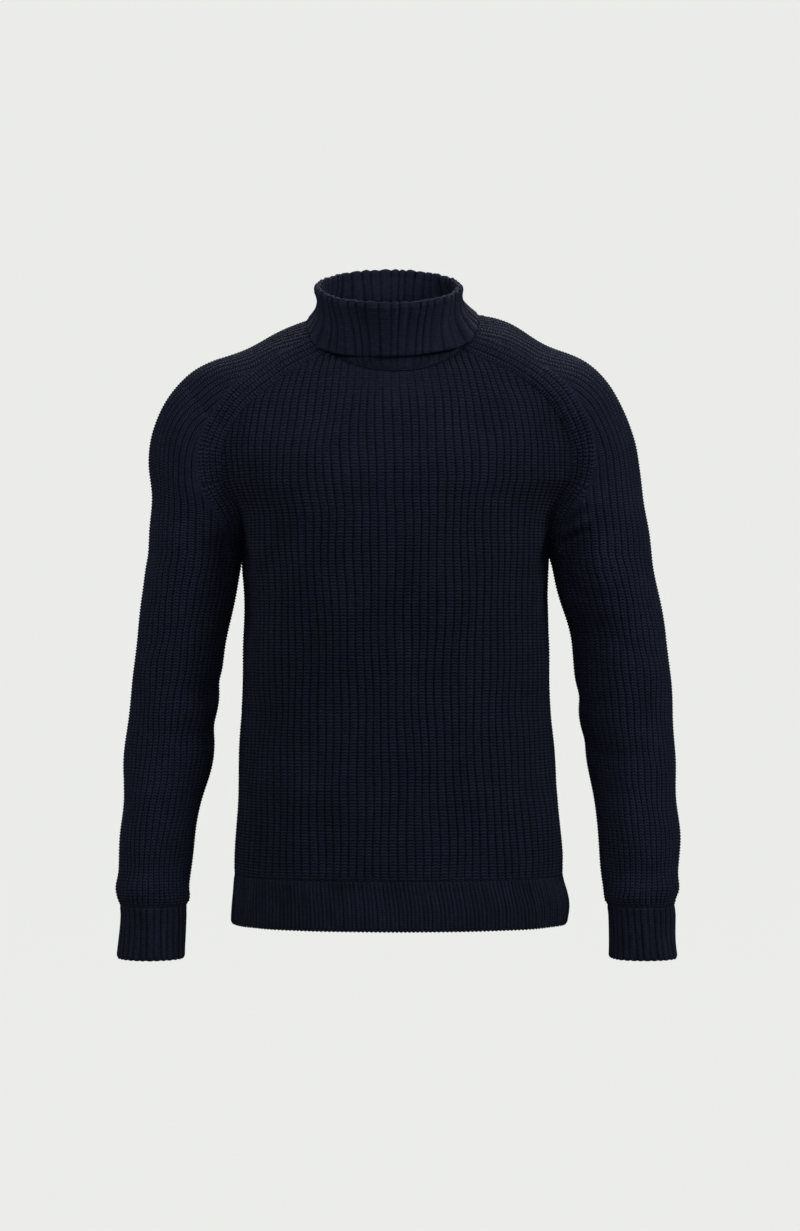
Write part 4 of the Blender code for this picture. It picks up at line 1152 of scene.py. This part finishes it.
def woolMaterial(name, look):
    material, shader, field = woolShader(name)
    uv = field.node("ShaderNodeUVMap", {"uv_map": "knit"})
    ribs, rows = (field.node("ShaderNodeSeparateXYZ", None, {0: uv}, axis) for axis in (0, 1))
    fade = field.node("ShaderNodeAttribute", {"attribute_name": "fade"}, None, "Fac")
    across = field.maths("FRACT", ribs) - 0.5
    side = field.maths("ABSOLUTE", across) * 2.0                     # 0 on a rib's crown, 1 in the groove
    lobe = field.maths("ABSOLUTE", field.maths("SINE", (rows + side * look["vee"]) * math.pi))
    crown = field.maths("MINIMUM", 1.0, side * 5.0)
    rib = 1.0 - side ** look["narrow"]
    place = field.node("ShaderNodeTexCoord", None, None, 3)

    def noise(at, scale, detail, roughness):
        return field.node("ShaderNodeTexNoise", None,
                          {"Vector": at, "Scale": scale, "Detail": detail, "Roughness": roughness})

    fibres, patches = (noise(place, *woolFinish[key]) for key in ("fibres", "patches"))
    parts = []
    for wide, high, shift, detail, rough in knitNoise:
        at = field.node("ShaderNodeCombineXYZ", None, {0: ribs * wide, 1: rows * high, 2: shift})
        parts.append(noise(at, 1.0, detail, rough))
    yarn, loops, streaks = parts
    height = lobe * rib * look["stitch"] + crown * rib * (0.2 + look["splitDipAndShade"]) + fibres * 0.34 + yarn * 0.3
    # painted shade: the tone is darkened in each groove between ribs, as far as the relief rises there
    grooveShade = 1.0 - (1.0 - rib) * (1.0 - look["grooveShade"]) * fade
    # painted highlight and shade: the tone is lighter on each stitch's lobe and darker between rows
    stitch = 1.0 + (lobe * 2.0 - 1.0) * look["lift"] * (0.35 + 0.65 * fade)
    # painted shade along the dip in the middle of each rib's crown; the same number also sets that dip's bump
    # depth
    splitDipAndShade = 1.0 - (1.0 - crown) * look["splitDipAndShade"]
    tone = grooveShade * stitch * splitDipAndShade
    for value, amount in ((patches, woolFinish["patch"] * 2.0), (streaks, look["streak"] * 2.0),
                          (fibres, woolFinish["speckle"] * 2.0), (loops, 0.7)):
        tone = tone * (1.0 + (value - 0.5) * amount)
    dress(shader, field, look["colour"], tone, fibres, height)
    return material


# Ribs and rows of stitches, raised by one tree from the piece's own counts

reliefSizes = {
    "body": {"Rib Height": 0.0013, "Rib Roundness": 3.0, "Stitch Height": 0.00052},
    "sleeve": {"Rib Height": 0.0011, "Rib Roundness": 2.6, "Stitch Height": 0.00056},
    "hem": {"Rib Height": 0.0010, "Rib Roundness": 2.0, "Stitch Height": 0.00004},
    "cuff": {"Rib Height": 0.0013, "Rib Roundness": 2.4, "Stitch Height": 0.00004},
    "collar": {"Rib Height": 0.0017, "Rib Roundness": 2.0, "Stitch Height": 0.00004},
}


def emptyTree(name, floats):
    # a tree that takes geometry, named floats and a wool. Gives its field, inputs and their identifiers
    tree = bpy.data.node_groups.new(name, "GeometryNodeTree")
    kinds = {"Geometry": "Geometry", **dict.fromkeys(floats, "Float"), "Wool": "Material"}
    sockets = {key: tree.interface.new_socket(key, in_out="INPUT", socket_type="NodeSocket" + kind).identifier
               for key, kind in kinds.items()}
    tree.interface.new_socket("Geometry", in_out="OUTPUT", socket_type="NodeSocketGeometry")
    given = tree.nodes.new("NodeGroupInput")
    return Field(tree), {socket.name: Field(tree, socket) for socket in given.outputs}, sockets


def endTree(field, made, wool):
    whole = field.node("GeometryNodeRealizeInstances", None, {0: made})
    dressed = field.node("GeometryNodeSetMaterial", None, {"Geometry": whole, "Material": wool})
    result = field.tree.nodes.new("NodeGroupOutput")
    field.tree.links.new(dressed.socket, result.inputs[0])


def attribute(field, name, kind):
    return field.node("GeometryNodeInputNamedAttribute", {"data_type": kind}, {"Name": name})


def reliefTree():
    field, source, sockets = emptyTree("knitRelief", ("Rib Height", "Rib Roundness", "Stitch Height"))
    ribs, rows, fade = (attribute(field, name, "FLOAT") for name in ("ribs", "rows", "fade"))
    outward = attribute(field, "outward", "FLOAT_VECTOR")
    side = field.maths("ABSOLUTE", field.maths("FRACT", ribs) - 0.5) * 2.0
    crown = 1.0 - side ** source["Rib Roundness"]
    wave = field.maths("COSINE", rows * (2 * math.pi)) * -1.0
    lift = fade * (crown * source["Rib Height"] + crown * wave * source["Stitch Height"])
    offset = field.node("ShaderNodeVectorMath", {"operation": "SCALE"}, {0: outward, "Scale": lift})
    raised = field.node("GeometryNodeSetPosition", None, {"Geometry": source["Geometry"], "Offset": offset})
    endTree(field, raised, source["Wool"])
    return field.tree, sockets


# Small stitches that link the collar to the neck edge
linking = {"pitch": 0.0034, "Length": 0.0017, "Width": 0.0009, "Height": 0.0009, "out": 0.0012, "tilt": 0.9}
stitchKeys = ("Length", "Width", "Height")


def linkingTree():
    # one small stitch on each point, turned along the seam
    field, source, sockets = emptyTree("linkingStitches", stitchKeys)
    along, outward = (attribute(field, name, "FLOAT_VECTOR") for name in ("along", "outward"))
    turn = field.node("FunctionNodeAlignRotationToVector", {"axis": "X"}, {"Vector": along})
    turn = field.node("FunctionNodeAlignRotationToVector", {"axis": "Z", "pivot_axis": "X"},
                      {"Rotation": turn, "Vector": outward})
    size = field.node("ShaderNodeCombineXYZ", None, dict(enumerate(source[key] for key in stitchKeys)))
    ball = field.node("GeometryNodeMeshUVSphere", None, {"Segments": 10, "Rings": 6, "Radius": 1.0})
    placed = field.node("GeometryNodeInstanceOnPoints", None,
                        {"Points": source["Geometry"], "Instance": ball, "Rotation": turn, "Scale": size})
    endTree(field, placed, source["Wool"])
    return field.tree, sockets


def linkingPoints():
    loop = closed(neckLoop())
    lengths = lengthsAlong(loop)
    at = np.linspace(0, lengths[-1], int(lengths[-1] / linking["pitch"]) + 1)[:-1]
    points = between(at, lengths, loop)
    along = unit(np.roll(points, -1, axis=0) - np.roll(points, 1, axis=0))
    outward = unit(neckOut(points) + np.array((0, 0, linking["tilt"])))
    mesh = bpy.data.meshes.new("linking")
    mesh.from_pydata([tuple(p) for p in points + outward * linking["out"]], [], [])
    pointLayer(mesh, "along", "FLOAT_VECTOR", along)
    pointLayer(mesh, "outward", "FLOAT_VECTOR", outward)
    return mesh


def setUv(mesh):
    # each face's corners get its ribs and rows, kept together where a count starts again
    loops = np.zeros(len(mesh.loops), np.int32)
    mesh.loops.foreach_get("vertex_index", loops)
    starts = np.zeros(len(mesh.polygons), np.int32)
    mesh.polygons.foreach_get("loop_start", starts)
    values = []
    for name in ("ribs", "rows"):
        column = np.zeros(len(mesh.vertices), np.float32)
        mesh.attributes[name].data.foreach_get("value", column)
        values.append(column[loops])
    totals = np.diff(np.append(starts, len(loops)))
    first = [np.repeat(column[starts], totals) for column in values]
    apart = np.abs(values[0] - first[0]) > 4
    layer = mesh.uv_layers.new(name="knit")
    layer.data.foreach_set("uv", np.stack(np.where(apart, first, values), axis=1).astype(np.float32).ravel())


def addObject(name, data):
    obj = bpy.data.objects.new(name, data)
    bpy.context.scene.collection.objects.link(obj)
    return obj


def plainMesh(obj, name):
    # the evaluated object as a mesh with no modifier
    evaluated = obj.evaluated_get(bpy.context.evaluated_depsgraph_get())
    mesh = bpy.data.meshes.new_from_object(evaluated)
    mesh.name = name
    bpy.data.objects.remove(obj, do_unlink=True)
    for extra in ("ribs", "rows", "outward", "along"):
        if extra in mesh.attributes:
            mesh.attributes.remove(mesh.attributes[extra])
    mesh.shade_smooth()
    return addObject(name, mesh)


knitTree = reliefTree()
wools = {name: woolMaterial("wool_" + name, look) for name, look in woolLooks.items()}
wools["thread"] = threadMaterial("wool_thread", threadLook)


def builtPiece(mesh, name, nodes, sizes, wool):
    # the piece that a tree makes of a base mesh
    tree, sockets = nodes
    obj = addObject("base_" + name, mesh)
    modifier = obj.modifiers.new("knit", "NODES")
    modifier.node_group = tree
    for key, value in sizes.items():
        modifier[sockets[key]] = value
    modifier[sockets["Wool"]] = wools[wool]
    piece = plainMesh(obj, name)
    print("made", name, "triangles:", sum(len(p.vertices) - 2 for p in piece.data.polygons))
    return piece


def knitPiece(mesh, name, relief, wool):
    setUv(mesh)
    return builtPiece(mesh, name, knitTree, reliefSizes[relief], wool)


pieces = {}
for face in ("front", "back"):
    pieces[face] = knitPiece(bodyPanel(face), face + "_knit", "body", "body")
for side in ("left", "right"):
    pieces["sleeve_" + side] = knitPiece(sleeveTube(side), "sleeve_" + side + "_knit", "sleeve", "sleeve")
    section, top, bottom = cuffSection(side)
    cuff = bandShell("cuff", section, top, bottom, cuffKnit)
    pieces["cuff_" + side] = knitPiece(cuff, "cuff_" + side + "_rib", "cuff", "trim")
hem = bandShell("hem", hemSection, hemTop - seamGap / 2, hemBottom, hemKnit)
pieces["hem_band"] = knitPiece(hem, "hem_rib", "hem", "trim")
pieces["collar"] = knitPiece(collarShell(), "collar_rib", "collar", "collar")

stitchSizes = {key: linking[key] for key in stitchKeys}
neckStitches = builtPiece(linkingPoints(), "neck_linking", linkingTree(), stitchSizes, "thread")
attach(neckStitches, "root")

for node, piece in pieces.items():
    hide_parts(node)
    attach(piece, "root")
print("pieces placed")


# Floor, light and camera

studio = {
    "floorZ": -1.05, "floorHalf": 60.0,
    "pale": (0.829, 0.837, 0.813),        # what the camera sees of floor and surroundings
    "floorShade": 0.004,                  # its own colour in the light, near black
    "surround": 0.14,                     # light from all round
    "below": 0.16,                        # light that the floor throws back
    "lights": (                           # place, diameter and watts
        ((-3.2, -1.5, 1.7), 1.6, 50.0),
        ((3.2, -1.5, 1.7), 1.6, 88.0),
        ((-1.5, -2.6, 2.2), 1.6, 22.0),
        ((1.5, -2.6, 2.2), 1.6, 10.0),
        ((0.0, -3.5, 0.4), 1.6, 19.0),
        ((0.2, 2.6, 2.6), 2.0, 150.0),
    ),
    "aim": (0.0, 0.0, -0.32),
    "camera": {"place": (0.0045, -3.6, -0.32), "lens": 93.98, "sensor": 36.0, "far": 50.0},
}


def seenOrLight(tree, light, socket):
    # a strength of 1 for the camera, and another one for the light that it gives
    field = Field(tree)
    seen = field.node("ShaderNodeLightPath", None, None, "Is Camera Ray")
    tree.links.new((light + (1.0 - light) * seen).socket, socket)


def paleFloor():
    half, z = studio["floorHalf"], studio["floorZ"]
    mesh = bpy.data.meshes.new("floor")
    corners = [(x * half, y * half, z) for x, y in ((-1, -1), (1, -1), (1, 1), (-1, 1))]
    mesh.from_pydata(corners, [], [(0, 1, 2, 3)])
    material = bpy.data.materials.new("floor")
    material.use_nodes = True
    shader = material.node_tree.nodes["Principled BSDF"]
    shader.inputs["Base Color"].default_value = (studio["floorShade"],) * 3 + (1.0,)
    shader.inputs["Roughness"].default_value = 1.0
    shader.inputs["Specular IOR Level"].default_value = 0.0
    shader.inputs["Emission Color"].default_value = (*studio["pale"], 1.0)
    seenOrLight(material.node_tree, studio["below"], shader.inputs["Emission Strength"])
    mesh.materials.append(material)
    addObject("floor", mesh)


def studioLights():
    world = bpy.data.worlds.new("studio")
    world.use_nodes = True
    sky = world.node_tree.nodes["Background"]
    sky.inputs["Color"].default_value = (*studio["pale"], 1.0)
    seenOrLight(world.node_tree, studio["surround"], sky.inputs["Strength"])
    bpy.context.scene.world = world
    for i, (place, size, power) in enumerate(studio["lights"]):
        lamp = bpy.data.lights.new("softbox" + str(i), "AREA")
        lamp.shape = "DISK"
        lamp.size = size
        lamp.energy = power
        obj = addObject("softbox" + str(i), lamp)
        obj.location = place
        obj.rotation_euler = (Vector(studio["aim"]) - Vector(place)).to_track_quat("-Z", "Y").to_euler()


def photoCamera():
    facts = studio["camera"]
    camera = bpy.data.cameras.new("camera")
    camera.lens, camera.sensor_width, camera.clip_end = facts["lens"], facts["sensor"], facts["far"]
    obj = addObject("camera", camera)
    obj.location = facts["place"]
    obj.rotation_euler = (math.radians(90), 0, 0)
    bpy.context.scene.camera = obj


paleFloor()
studioLights()
photoCamera()
bpy.context.scene.view_settings.view_transform = "Standard"
print("studio ready")

bpy.context.view_layer.update()
